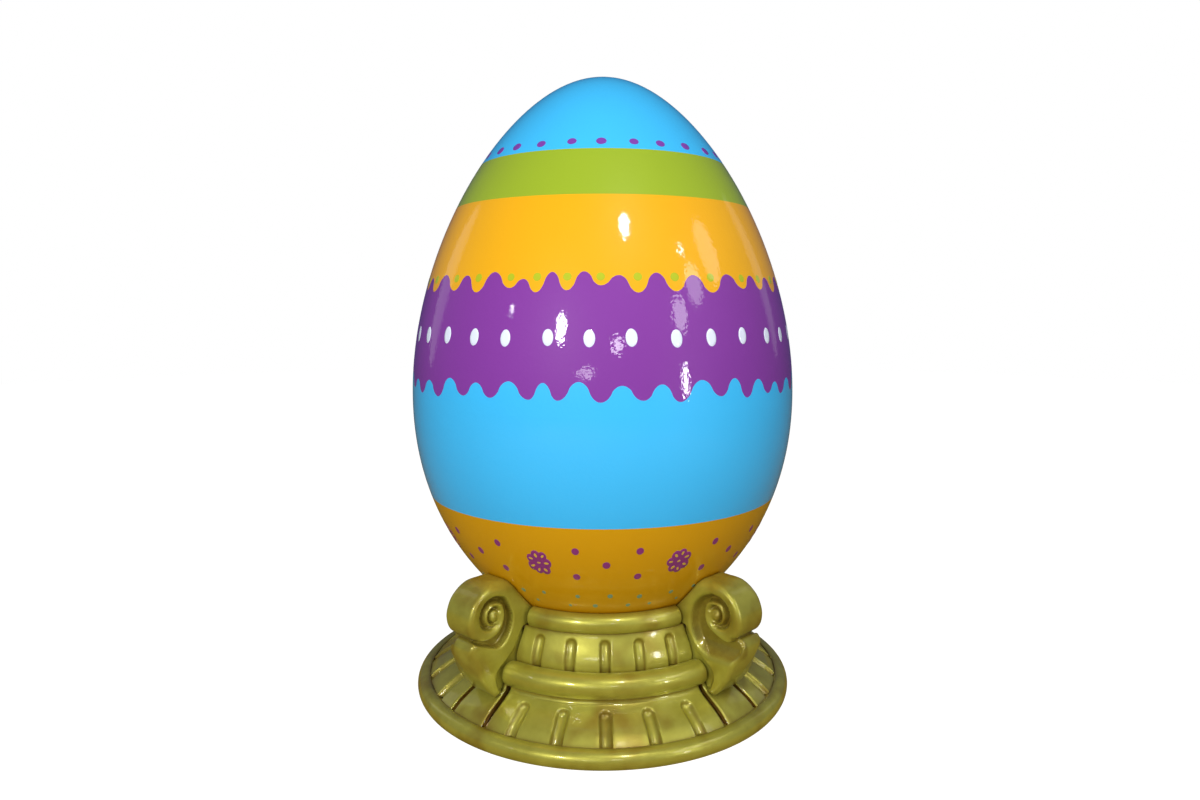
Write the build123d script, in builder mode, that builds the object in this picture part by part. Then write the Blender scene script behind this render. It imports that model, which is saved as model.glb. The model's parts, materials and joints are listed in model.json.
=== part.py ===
"""Large decorated display egg on a round gilded pedestal with four scroll brackets.

Millimetres, +Z up, origin on the floor under the middle of the pedestal, front towards -Y.
The egg is a hollow laminated shell that lifts straight off the pedestal: a square socket
in its floor drops over a square steel post that is bolted to the pedestal's base board.
The pedestal is a ring of moulded panels, beads and brackets on plywood ribs.
"""
from math import asin, cos, degrees, hypot, pi, radians, sin, sqrt
import os

from build123d import *

# Allowances
overrun = 5.0
joint_gap = 0.3
egg_gap = 2.5
hole_clearance = 0.5

# Egg: a hollow shell of revolution, its half width given by egg_radius and the outline shares
egg_radius = 617.0
egg_half_height = 911.6
egg_outline_shares = (1.0, -0.1394, -0.0635, 0.0608, -0.0630)
egg_seat_share = -0.7932
egg_joint_share = -0.1136
egg_skin = 6.0
egg_stations = 14
egg_joint_ring_height = 80.0
egg_joint_ring_thickness = 4.0
egg_floor_thickness = 18.0

# Rim of the pedestal: a half-round bead over the floor with a ledge inside it
rim_bead = 30.0
rim_centre_height = 18.0
rim_overhang = 12.0
rim_ledge_width = 28.0

# Mouldings of the pedestal from the floor up
panel_skin = 6.0
panel_depth = 18.0
skirt_foot_height = 44.0
skirt_run = 110.0
skirt_outline_shares = ((0, 0), (0.25, 0.28), (0.53, 0.51), (0.76, 0.67), (0.90, 0.79), (0.98, 0.89), (1, 1))
middle_bead = 38.0
middle_bead_height = 167.0
skirt_tuck = 12.0
drum_tuck = 25.0
drum_run = 35.0
drum_outline_shares = ((0, 0), (0.06, 0.20), (0.31, 0.45), (0.66, 0.70), (0.91, 0.90), (1, 1))
drum_foot_tuck = 12.0
bead_back_depth = 11.0
collar_bead = 33.0
collar_height = 324.0
collar_tuck = 22.0
collar_ledge = 24.0
bead_wall = 6.0
bead_end_share = 0.75

# Flutes sunk in the skirt and drum panels
flute_count = 5
flute_pitch = 14.0
skirt_flute_radius = 20.0
skirt_flute_depth = 15.0
skirt_flute_top_share = 0.66
drum_flute_radius = 18.0
drum_flute_depth = 12.0
drum_flute_top_share = 0.70

# Gaps between the bays and the bracket bays
bracket_half_angle = 8.3
groove_width = 15.0
bracket_width = 126.0
bracket_side_gap = 4.0

# Scroll bracket: volute, stem and knee, drawn in the plane through the pedestal's axis
volute_radius = 94.0
volute_reach = 131.0
volute_height = 351.0
volute_tread_shares = (
    (113, 1.20), (90, 1.075), (70, 1.02), (45, 1.0), (20, 1.0),
    (-4, 1.0), (-24, 0.96), (-42, 0.88), (-57, 0.80),
)
knee_reach = 119.0
knee_shares = ((0.77, 0.96), (0.94, 0.855), (1.0, 0.715), (0.935, 0.55), (0.73, 0.395), (0.395, 0.20))
foot_step = 15.0
bracket_edge_radius = 12.0
recess_depth = 28.0
recess_stem_shares = (
    (-0.10, 0.66), (-0.39, 0.44), (-0.54, -0.10), (-0.52, -0.52), (-0.35, -0.85),
    (-0.16, -1.00), (0.15, -0.97), (0.50, -0.74),
)
recess_coil_shares = (
    (0.30, -0.66), (0.01, -0.60), (-0.27, -0.39),
    (-0.38, -0.12), (-0.36, 0.19), (-0.20, 0.46),
)
scroll_groove_width = 10.0
scroll_groove_depth = 14.0
scroll_groove_shares = (
    (104, 0.62), (60, 0.64), (20, 0.59), (-25, 0.555), (-60, 0.515), (-100, 0.44),
    (-140, 0.37), (-180, 0.335), (-240, 0.29),
)

# Plywood inside the pedestal
board_thickness = 18.0
rib_thickness = 24.0
rib_inner = 200.0
base_board_gap = 0.5

# Rubber pads that the egg rests on
pad_thickness = 10.0
pad_radius = 40.0
pad_circle_radius = 250.0

# Square steel post and the egg's socket over it
post_side = 80.0
post_wall = 5.0
post_rise = 300.0
post_cap_thickness = 8.0
socket_clearance = 1.0
socket_wall = 4.0
socket_headroom = 40.0
socket_flange_side = 220.0
socket_flange_thickness = 8.0
foot_plate_side = 240.0
foot_plate_thickness = 10.0
collar_plate_side = 160.0
collar_plate_thickness = 6.0
gusset_reach = 60.0
gusset_height = 110.0
gusset_thickness = 8.0

# Bolts, nuts, washers and inserts
bolt_radius = 6.0
bolt_head_radius = 10.5
bolt_head_height = 7.5
nut_height = 10.0
washer_radius = 15.0
washer_thickness = 2.5
thread_stand_out = 5.0
foot_bolt_spacing = 180.0
egg_bolt_spacing = 160.0
insert_radius = 10.0
insert_length = 40.0
bracket_bolt_low = 170.0
bracket_bolt_high = 240.0

# Radii of the pedestal, worked outwards from the egg's seat
collar_crown = collar_height + collar_bead
egg_centre_height = collar_crown - egg_seat_share * egg_half_height
board_top = collar_height - collar_bead
egg_floor_height = board_top + pad_thickness


def egg_half_width(angle):
    """Half width of the egg where its height is the sine of this angle."""
    height = sin(angle)
    return egg_radius * cos(angle) * sum(share * height**k for k, share in enumerate(egg_outline_shares))


def egg_point(angle, depth=0.0):
    """Radius and height on the egg's outline, moved inwards by depth."""
    step = pi / 7200
    across = egg_half_width(angle + step) - egg_half_width(angle - step)
    up = egg_half_height * (sin(angle + step) - sin(angle - step))
    length = hypot(across, up)
    return (
        egg_half_width(angle) - depth * up / length,
        egg_centre_height + egg_half_height * sin(angle) + depth * across / length,
    )


def egg_angle(height):
    """Angle at which the egg's outline has this height."""
    return asin((height - egg_centre_height) / egg_half_height)


seat_radius = egg_half_width(asin(egg_seat_share))
collar_radius = seat_radius + egg_gap
drum_top_radius = collar_radius + collar_tuck
drum_foot_radius = drum_top_radius + drum_run
middle_bead_radius = drum_foot_radius + drum_tuck
skirt_top_radius = middle_bead_radius + skirt_tuck
skirt_foot_radius = skirt_top_radius + skirt_run
rim_radius = skirt_foot_radius + rim_overhang
bead_back_radius = drum_foot_radius - bead_back_depth
skirt_top_height = middle_bead_height - sqrt(middle_bead**2 - skirt_tuck**2)
drum_foot_height = middle_bead_height + sqrt(middle_bead**2 - drum_tuck**2)
drum_top_height = collar_height - sqrt(collar_bead**2 - collar_tuck**2)
ledge_height = skirt_foot_height - panel_skin
ledge_radius = skirt_foot_radius - rim_ledge_width
top_board_radius = drum_top_radius - panel_depth
top_board_base = board_top - board_thickness
base_board_radius = ledge_radius - base_board_gap
stand_side = bracket_width / 2 + bracket_side_gap
bracket_back = drum_top_radius - panel_skin
socket_bore = post_side + 2 * socket_clearance
socket_side = socket_bore + 2 * socket_wall
post_base = board_thickness + foot_plate_thickness
post_top = egg_floor_height + post_rise
socket_top = post_top + socket_headroom
volute_centre = collar_radius + volute_reach

bay_turns = {"front": -90, "right": 0, "back": 90, "left": 180}
bracket_turns = {"front_right": -45, "back_right": 45, "back_left": 135, "front_left": -135}


def radial_plane(turn, offset=0.0):
    """Plane through the pedestal's axis, or beside it: local x runs outwards, local y upwards."""
    turn = radians(turn)
    outwards = Vector(cos(turn), sin(turn), 0)
    normal = Vector(sin(turn), -cos(turn), 0)
    return Plane(origin=tuple(normal * offset), x_dir=outwards, z_dir=normal)


def curve_points(shares, start, run, rise):
    """Points of a moulding's outline from its foot up, run measured inwards."""
    return [(start[0] - run * across, start[1] + rise * up) for across, up in shares]


def sunk(points, depth):
    """The same outline moved into the panel by depth, square to itself."""
    moved = []
    for index, (radius, height) in enumerate(points):
        before = points[max(index - 1, 0)]
        after = points[min(index + 1, len(points) - 1)]
        across = after[0] - before[0]
        up = after[1] - before[1]
        length = hypot(across, up)
        moved.append((radius - depth * up / length, height + depth * across / length))
    return moved


def band_face(points, near, far):
    """Face between two depths under an outline."""
    with BuildSketch(Plane.XY) as band:
        with BuildLine():
            shallow = Spline(*sunk(points, near))
            deep = Spline(*sunk(points, far))
            Line(shallow @ 0, deep @ 0)
            Line(shallow @ 1, deep @ 1)
        make_face()
    return band.sketch


def ring_sector(face, half_turn, trim):
    """Ring from a section in radius and height, centred on +X, each end trimmed square by a length."""
    with BuildPart() as ring:
        with BuildSketch(radial_plane(-half_turn)):
            add(face)
        revolve(axis=Axis.Z, revolution_arc=2 * half_turn)
        split(bisect_by=radial_plane(half_turn, trim), keep=Keep.TOP)
        split(bisect_by=radial_plane(-half_turn, -trim), keep=Keep.BOTTOM)
    return ring.part


def round_ring(radius, height, bead):
    """Whole round bar bent into a ring, used to cope what meets a bead."""
    with BuildPart() as ring:
        with BuildSketch(Plane.XZ):
            with Locations((radius, height)):
                Circle(bead)
        revolve(axis=Axis.Z)
    return ring.part


def square_tube(side, wall, low, high):
    """Upright square tube between two heights."""
    with BuildPart() as tube:
        with BuildSketch(Plane.XY.offset(low)):
            Rectangle(side, side)
            Rectangle(side - 2 * wall, side - 2 * wall, mode=Mode.SUBTRACT)
        extrude(amount=high - low)
    return tube.part


def gusset_set(side, low):
    """Four upright triangular plates against the faces of a square tube."""
    with BuildPart() as gussets:
        for turn in bay_turns.values():
            with BuildSketch(radial_plane(turn)):
                with BuildLine():
                    Polyline(
                        (side / 2, low),
                        (side / 2 + gusset_reach, low),
                        (side / 2 + gusset_reach, low + gusset_thickness),
                        (side / 2 + gusset_thickness, low + gusset_height),
                        (side / 2, low + gusset_height),
                        close=True,
                    )
                make_face()
            extrude(amount=gusset_thickness / 2, both=True)
    return gussets.part


def bolt_places(spacing):
    """Centres of four bolts on a square."""
    half = spacing / 2
    return [(half, half), (-half, half), (-half, -half), (half, -half)]


def save(part, name):
    """Label a finished piece and write its file."""
    part.label = name
    export_step(part, f"parts/{name}.step")


os.makedirs("parts", exist_ok=True)

# Egg: one outline gives the skin, the space inside it and the room round it
lowest_station = egg_angle(egg_floor_height - 4 * egg_skin)
station_angles = [
    lowest_station + (pi / 2 - lowest_station) * k / egg_stations for k in range(egg_stations + 1)
]


def egg_volume(depth):
    """Solid of revolution inside the egg's outline, moved inwards by depth."""
    right = [egg_point(angle, depth) for angle in station_angles]
    crown = (0, right.pop()[1])
    left = [(-radius, height) for radius, height in reversed(right)]
    with BuildPart() as volume:
        with BuildSketch(Plane.XZ):
            with BuildLine():
                Spline(*right, crown, *left)
                Line(left[-1], right[0])
            make_face()
            with Locations((0, right[0][1])):
                Rectangle(2 * egg_radius, 2 * egg_half_height,
                          align=(Align.MIN, Align.MIN), mode=Mode.INTERSECT)
        revolve(axis=Axis.Z)
    return volume.part


egg_outside = egg_volume(0.0)
egg_room = egg_volume(-egg_gap)
egg_cavity = egg_volume(egg_skin)
egg_cavity_clear = egg_volume(egg_skin + joint_gap)
egg_ring_bore = egg_volume(egg_skin + joint_gap + egg_joint_ring_thickness)
egg_joint_height = egg_centre_height + egg_joint_share * egg_half_height

with BuildPart() as egg_upper_shell:
    add(egg_outside)
    add(egg_cavity, mode=Mode.SUBTRACT)
    split(bisect_by=Plane.XY.offset(egg_joint_height), keep=Keep.TOP)
save(egg_upper_shell.part, "egg_upper_shell")

with BuildPart() as egg_lower_shell:
    add(egg_outside)
    add(egg_cavity, mode=Mode.SUBTRACT)
    split(bisect_by=Plane.XY.offset(egg_joint_height), keep=Keep.BOTTOM)
    split(bisect_by=Plane.XY.offset(egg_floor_height), keep=Keep.TOP)
save(egg_lower_shell.part, "egg_lower_shell")

with BuildPart() as egg_joint_ring:
    add(egg_cavity_clear)
    add(egg_ring_bore, mode=Mode.SUBTRACT)
    split(bisect_by=Plane.XY.offset(egg_joint_height + egg_joint_ring_height / 2), keep=Keep.BOTTOM)
    split(bisect_by=Plane.XY.offset(egg_joint_height - egg_joint_ring_height / 2), keep=Keep.TOP)
save(egg_joint_ring.part, "egg_joint_ring")

egg_floor_top = egg_floor_height + egg_floor_thickness
with BuildPart() as egg_floor_board:
    with BuildSketch(Plane.XY.offset(egg_floor_height)):
        Circle(seat_radius)
    extrude(amount=egg_floor_thickness)
    add(egg_cavity_clear, mode=Mode.INTERSECT)
    with BuildSketch(Plane.XY.offset(egg_floor_height)):
        Rectangle(socket_side + hole_clearance, socket_side + hole_clearance)
    extrude(amount=egg_floor_thickness, mode=Mode.SUBTRACT)
    with Locations(Plane.XY.offset(egg_floor_top)):
        with Locations(*bolt_places(egg_bolt_spacing)):
            Hole(bolt_radius + hole_clearance, depth=egg_floor_thickness)
    with Locations(Plane.XY.offset(egg_floor_height)):
        with Locations(*bolt_places(egg_bolt_spacing)):
            Cylinder(bolt_head_radius + hole_clearance, bolt_head_height + hole_clearance,
                     align=(Align.CENTER, Align.CENTER, Align.MIN), mode=Mode.SUBTRACT)
save(egg_floor_board.part, "egg_floor_board")

with BuildPart() as egg_socket_tube:
    add(square_tube(socket_side, socket_wall, egg_floor_height, socket_top))
save(egg_socket_tube.part, "egg_socket_tube")

with BuildPart() as egg_socket_cap:
    with BuildSketch(Plane.XY.offset(socket_top)):
        Rectangle(socket_side, socket_side)
    extrude(amount=socket_flange_thickness)
    chamfer(egg_socket_cap.edges().group_by(Axis.Z)[-1], length=socket_flange_thickness / 4)
save(egg_socket_cap.part, "egg_socket_cap")

with BuildPart() as egg_socket_flange:
    with BuildSketch(Plane.XY.offset(egg_floor_top)):
        RectangleRounded(socket_flange_side, socket_flange_side, socket_flange_thickness)
        Rectangle(socket_side + joint_gap, socket_side + joint_gap, mode=Mode.SUBTRACT)
        with Locations(*bolt_places(egg_bolt_spacing)):
            Circle(bolt_radius + hole_clearance, mode=Mode.SUBTRACT)
    extrude(amount=socket_flange_thickness)
save(egg_socket_flange.part, "egg_socket_flange")

with BuildPart() as egg_socket_gussets:
    add(gusset_set(socket_side, egg_floor_top + socket_flange_thickness))
save(egg_socket_gussets.part, "egg_socket_gussets")


def bolt_set(spacing, head_base, clamped):
    """Four bolts with round heads below, threads upwards through what they clamp."""
    with BuildPart() as bolts:
        with Locations(Plane.XY.offset(head_base)):
            with Locations(*bolt_places(spacing)):
                Cylinder(bolt_head_radius, bolt_head_height, align=(Align.CENTER, Align.CENTER, Align.MIN))
                Cylinder(bolt_radius, clamped + washer_thickness + nut_height + thread_stand_out,
                         align=(Align.CENTER, Align.CENTER, Align.MIN))
    return bolts.part


def washer_set(spacing, base):
    """Four plain washers."""
    with BuildPart() as washers:
        with BuildSketch(Plane.XY.offset(base)):
            with Locations(*bolt_places(spacing)):
                Circle(washer_radius)
                Circle(bolt_radius + joint_gap, mode=Mode.SUBTRACT)
        extrude(amount=washer_thickness)
    return washers.part


def nut_set(spacing, base):
    """Four hexagon nuts."""
    with BuildPart() as nuts:
        with BuildSketch(Plane.XY.offset(base)):
            with Locations(*bolt_places(spacing)):
                RegularPolygon(bolt_head_radius, 6)
                Circle(bolt_radius + joint_gap, mode=Mode.SUBTRACT)
        extrude(amount=nut_height)
    return nuts.part


egg_bolt_grip = egg_floor_thickness + socket_flange_thickness
with BuildPart() as egg_floor_bolts:
    add(bolt_set(egg_bolt_spacing, egg_floor_height + hole_clearance, egg_bolt_grip))
save(egg_floor_bolts.part, "egg_floor_bolts")

with BuildPart() as egg_floor_washers:
    add(washer_set(egg_bolt_spacing, egg_floor_height + egg_bolt_grip))
save(egg_floor_washers.part, "egg_floor_washers")

with BuildPart() as egg_floor_nuts:
    add(nut_set(egg_bolt_spacing, egg_floor_height + egg_bolt_grip + washer_thickness))
save(egg_floor_nuts.part, "egg_floor_nuts")

# Rim: an upturned channel that runs round the floor, its ledge under the panels' feet
with BuildPart() as base_rim:
    with BuildSketch(Plane.XZ):
        with Locations((rim_radius, rim_centre_height)):
            Circle(rim_bead)
        with Locations((ledge_radius, 0)):
            Rectangle(rim_radius - ledge_radius, ledge_height, align=(Align.MIN, Align.MIN))
        with Locations((rim_radius, rim_centre_height)):
            Circle(rim_bead - 2 * panel_skin, mode=Mode.SUBTRACT)
        with Locations((ledge_radius, ledge_height)):
            Rectangle(skirt_foot_radius + joint_gap - ledge_radius, rim_bead,
                      align=(Align.MIN, Align.MIN), mode=Mode.SUBTRACT)
        with Locations((ledge_radius + panel_skin, -overrun)):
            Rectangle(rim_radius - ledge_radius, ledge_height - panel_skin + overrun,
                      align=(Align.MIN, Align.MIN), mode=Mode.SUBTRACT)
        with Locations((ledge_radius - overrun, 0)):
            Rectangle(rim_radius + rim_bead, rim_bead, align=(Align.MIN, Align.MAX), mode=Mode.SUBTRACT)
    revolve(axis=Axis.Z)
save(base_rim.part, "base_rim")

# Skirt and plinth panels: trays with a thin face and deep ends, coped under the middle bead
skirt_rise = skirt_top_height - skirt_foot_height
skirt_foot = (skirt_foot_radius, skirt_foot_height)
skirt_curve = curve_points(skirt_outline_shares, skirt_foot, skirt_run, skirt_rise)
skirt_face = band_face(skirt_curve, 0, panel_depth)
skirt_space = band_face(skirt_curve, panel_skin, panel_depth + overrun)
middle_bead_room = round_ring(middle_bead_radius, middle_bead_height, middle_bead + joint_gap)
groove_turn = 45 - bracket_half_angle


def flute_bar(foot, top, radius):
    """Round-ended bar in the plane of +X, along the line from foot to top."""
    along = Vector(top[0] - foot[0], 0, top[1] - foot[1])
    start = Vector(foot[0], 0, foot[1])
    with BuildPart() as bar:
        with BuildSketch(Plane(origin=tuple(start), z_dir=along)):
            Circle(radius)
        extrude(amount=along.length)
        with Locations((top[0], 0, top[1])):
            Sphere(radius)
    return bar.part


def fluted(panel, space, bar, hollow_bar):
    """Panel with its flutes sunk in, the skin dipping behind each of them."""
    turns = [flute_pitch * (k - (flute_count - 1) / 2) for k in range(flute_count)]
    with BuildPart() as behind:
        add(space)
        for turn in turns:
            add(hollow_bar.rotate(Axis.Z, turn), mode=Mode.SUBTRACT)
    with BuildPart() as finished:
        add(panel)
        for turn in turns:
            add(bar.rotate(Axis.Z, turn), mode=Mode.SUBTRACT)
        add(behind.part, mode=Mode.SUBTRACT)
    return finished.part


skirt_slope = hypot(skirt_run, skirt_rise)
skirt_lift = skirt_flute_radius - skirt_flute_depth
skirt_lift_radius = skirt_lift * skirt_rise / skirt_slope
skirt_lift_height = skirt_lift * skirt_run / skirt_slope
skirt_flute_foot = (
    skirt_foot_radius + skirt_run * skirt_lift / skirt_slope + skirt_lift_radius,
    skirt_foot_height - skirt_rise * skirt_lift / skirt_slope + skirt_lift_height,
)
skirt_flute_top = (
    skirt_foot_radius - skirt_run * skirt_flute_top_share + skirt_lift_radius,
    skirt_foot_height + skirt_rise * skirt_flute_top_share + skirt_lift_height,
)
skirt_flute = flute_bar(skirt_flute_foot, skirt_flute_top, skirt_flute_radius)
skirt_flute_back = flute_bar(skirt_flute_foot, skirt_flute_top, skirt_flute_radius + panel_skin)

with BuildPart() as skirt_master:
    add(fluted(
        ring_sector(skirt_face, groove_turn, groove_width / 2),
        ring_sector(skirt_space, groove_turn, groove_width / 2 + panel_skin),
        skirt_flute,
        skirt_flute_back,
    ))
    split(bisect_by=Plane.XY.offset(ledge_height + joint_gap), keep=Keep.TOP)
    add(middle_bead_room, mode=Mode.SUBTRACT)

for side, turn in bay_turns.items():
    with BuildPart() as skirt_panel:
        add(skirt_master.part.rotate(Axis.Z, turn))
    save(skirt_panel.part, f"skirt_panel_{side}")

with BuildPart() as plinth_master:
    add(ring_sector(skirt_face, bracket_half_angle, groove_width / 2))
    add(ring_sector(skirt_space, bracket_half_angle, groove_width / 2 + panel_skin), mode=Mode.SUBTRACT)
    split(bisect_by=Plane.XY.offset(ledge_height + joint_gap), keep=Keep.TOP)
    add(middle_bead_room, mode=Mode.SUBTRACT)

for corner, turn in bracket_turns.items():
    with BuildPart() as plinth_panel:
        add(plinth_master.part.rotate(Axis.Z, turn))
    save(plinth_panel.part, f"plinth_panel_{corner}")


def bead_bar(radius, height, bead):
    """Round bar bent to a ring sector, centred on +X, with rounded ends close to the brackets."""
    half_turn = 45 - degrees(asin((stand_side + bead * bead_end_share) / radius))
    with BuildPart() as bar:
        with BuildSketch(radial_plane(-half_turn)):
            with Locations((radius, height)):
                Circle(bead)
        revolve(axis=Axis.Z, revolution_arc=2 * half_turn)
        for turn in (-half_turn, half_turn):
            with Locations((radius * cos(radians(turn)), radius * sin(radians(turn)), height)):
                Sphere(bead)
        split(bisect_by=radial_plane(45, stand_side), keep=Keep.TOP)
        split(bisect_by=radial_plane(-45, -stand_side), keep=Keep.BOTTOM)
    return bar.part


# Middle bead: a rounded bar with a flat back, hollowed from behind
with BuildSketch() as middle_bead_hollow:
    with Locations((middle_bead_radius, middle_bead_height)):
        Circle(middle_bead - bead_wall)

with BuildPart() as middle_bead_master:
    add(bead_bar(middle_bead_radius, middle_bead_height, middle_bead))
    Cylinder(bead_back_radius, 2 * collar_height, mode=Mode.SUBTRACT)
    add(ring_sector(middle_bead_hollow.sketch, 45, stand_side + middle_bead), mode=Mode.SUBTRACT)

for side, turn in bay_turns.items():
    with BuildPart() as middle_bead_piece:
        add(middle_bead_master.part.rotate(Axis.Z, turn))
    save(middle_bead_piece.part, f"middle_bead_{side}")

# Collar: a rounded bar with a ledge on the top board, its inside dished to the egg
with BuildSketch() as collar_ledge_section:
    with Locations((collar_radius, board_top)):
        Rectangle(collar_ledge, collar_bead, align=(Align.MAX, Align.MIN))

with BuildPart() as collar_master:
    add(bead_bar(collar_radius, collar_height, collar_bead))
    add(ring_sector(collar_ledge_section.sketch, 45, stand_side))
    add(egg_room, mode=Mode.SUBTRACT)

for side, turn in bay_turns.items():
    with BuildPart() as collar_piece:
        add(collar_master.part.rotate(Axis.Z, turn))
    save(collar_piece.part, f"collar_bead_{side}")

# Drum panels between the middle bead and the collar, coped to both
drum_rise = drum_top_height - drum_foot_height
drum_curve = curve_points(drum_outline_shares, (drum_foot_radius, drum_foot_height), drum_run, drum_rise)
drum_lean = (drum_curve[-2][0] - drum_curve[-1][0]) / (drum_curve[-1][1] - drum_curve[-2][1])
drum_curve.append((drum_curve[-1][0] - drum_foot_tuck * drum_lean, drum_top_height + drum_foot_tuck))
drum_curve.insert(0, (drum_foot_radius, drum_foot_height - drum_foot_tuck))
drum_face = band_face(drum_curve, 0, panel_depth)
drum_space = band_face(drum_curve, panel_skin, panel_depth + overrun)
collar_room = round_ring(collar_radius, collar_height, collar_bead + joint_gap)

drum_lift = drum_flute_radius - drum_flute_depth
drum_flute_foot = (drum_foot_radius + drum_lift, drum_foot_height - drum_foot_tuck)
drum_flute_top = (
    drum_foot_radius - drum_run * drum_flute_top_share**2 + drum_lift,
    drum_foot_height + drum_rise * drum_flute_top_share,
)
drum_flute = flute_bar(drum_flute_foot, drum_flute_top, drum_flute_radius)
drum_flute_back = flute_bar(drum_flute_foot, drum_flute_top, drum_flute_radius + panel_skin)

with BuildPart() as drum_master:
    add(fluted(
        ring_sector(drum_face, 45, stand_side),
        ring_sector(drum_space, 45, stand_side + panel_skin),
        drum_flute,
        drum_flute_back,
    ))
    add(middle_bead_room, mode=Mode.SUBTRACT)
    add(collar_room, mode=Mode.SUBTRACT)

for side, turn in bay_turns.items():
    with BuildPart() as drum_panel:
        add(drum_master.part.rotate(Axis.Z, turn))
    save(drum_panel.part, f"drum_panel_{side}")


def from_volute(across, up):
    """Point given in shares of the volute's radius from its centre."""
    return (volute_centre + volute_radius * across, volute_height + volute_radius * up)


def on_volute(shares):
    """Points given as angles in degrees and shares of the volute's radius."""
    return [from_volute(share * cos(radians(turn)), share * sin(radians(turn))) for turn, share in shares]


# Scroll bracket: the outline is cut to its width, then the scroll is sunk into both sides
bracket_seat = skirt_top_height + joint_gap
bracket_shelf = board_top + joint_gap
bracket_foot = (skirt_top_radius + foot_step, skirt_top_height - foot_step)
tread_points = on_volute(volute_tread_shares)
tread_end = (tread_points[-1][0] - tread_points[-2][0], tread_points[-1][1] - tread_points[-2][1])
knee_rise = tread_points[-1][1] - bracket_foot[1]
knee_points = [
    (bracket_foot[0] + knee_reach * out, bracket_foot[1] + knee_rise * up) for out, up in knee_shares
]
ledge_inner = collar_radius - collar_ledge

with BuildPart() as bracket_head:
    with BuildSketch(Plane.XZ):
        with BuildLine():
            Spline(*tread_points, tangents=[(1, 0), tread_end])
            Polyline(
                tread_points[-1],
                (bracket_back, tread_points[-1][1]),
                (bracket_back, bracket_shelf),
                (ledge_inner, bracket_shelf),
                (ledge_inner, tread_points[0][1]),
                tread_points[0],
            )
        make_face()
    extrude(amount=bracket_width / 2, both=True)
    add(egg_room, mode=Mode.SUBTRACT)
    top_edges = bracket_head.edges().filter_by(Axis.X).group_by(Axis.Z)[-1]
    tread_edges = bracket_head.edges().filter_by(GeomType.BSPLINE).filter_by_position(
        Axis.X, volute_centre - volute_radius / 2, volute_centre + volute_radius)
    fillet(tread_edges + top_edges, radius=bracket_edge_radius)

with BuildPart() as bracket_knee:
    with BuildSketch(Plane.XZ):
        with BuildLine():
            Spline(tread_points[-1], *knee_points, bracket_foot)
            Polyline(
                bracket_foot,
                (skirt_top_radius, bracket_seat),
                (bracket_back, bracket_seat),
                (bracket_back, tread_points[-1][1]),
                tread_points[-1],
            )
        make_face()
    extrude(amount=bracket_width / 2, both=True)
    fillet(bracket_knee.edges().filter_by(GeomType.BSPLINE), radius=bracket_edge_radius)

with BuildPart() as bracket_master:
    add(bracket_head)
    add(bracket_knee)
    for side in (1, -1):
        with BuildSketch(Plane.XZ.offset(side * bracket_width / 2)):
            with BuildLine():
                stem_side = Spline(*[from_volute(*share) for share in recess_stem_shares])
                coil_side = Spline(*[from_volute(*share) for share in recess_coil_shares])
                Line(stem_side @ 1, coil_side @ 0)
                Line(coil_side @ 1, stem_side @ 0)
            make_face()
        extrude(amount=-side * recess_depth, mode=Mode.SUBTRACT)
        with BuildSketch(Plane.XZ.offset(side * bracket_width / 2)):
            with BuildLine():
                Spline(*on_volute(scroll_groove_shares))
            trace(line_width=scroll_groove_width)
        extrude(amount=-side * scroll_groove_depth, mode=Mode.SUBTRACT)
    for height in (bracket_bolt_low, bracket_bolt_high):
        with BuildSketch(Plane.YZ.offset(bracket_back)):
            with Locations((0, height)):
                Circle(insert_radius + joint_gap)
        extrude(amount=insert_length + joint_gap, mode=Mode.SUBTRACT)

for corner, turn in bracket_turns.items():
    with BuildPart() as scroll_bracket:
        add(bracket_master.part.rotate(Axis.Z, turn))
    save(scroll_bracket.part, f"scroll_bracket_{corner}")

# Base board inside the rim, with the post's foot bolts let into its underside
with BuildPart() as base_board:
    Cylinder(base_board_radius, board_thickness, align=(Align.CENTER, Align.CENTER, Align.MIN))
    with Locations(Plane.XY.offset(board_thickness)):
        with Locations(*bolt_places(foot_bolt_spacing)):
            Hole(bolt_radius + hole_clearance, depth=board_thickness)
    with Locations(*bolt_places(foot_bolt_spacing)):
        Cylinder(bolt_head_radius + hole_clearance, bolt_head_height + hole_clearance,
                 align=(Align.CENTER, Align.CENTER, Align.MIN), mode=Mode.SUBTRACT)
save(base_board.part, "base_board")

# Top board, which carries the egg and steadies the post
with BuildPart() as top_board:
    with BuildSketch(Plane.XY.offset(top_board_base)):
        Circle(top_board_radius)
        Rectangle(post_side + hole_clearance, post_side + hole_clearance, mode=Mode.SUBTRACT)
    extrude(amount=board_thickness)
save(top_board.part, "top_board")

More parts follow.
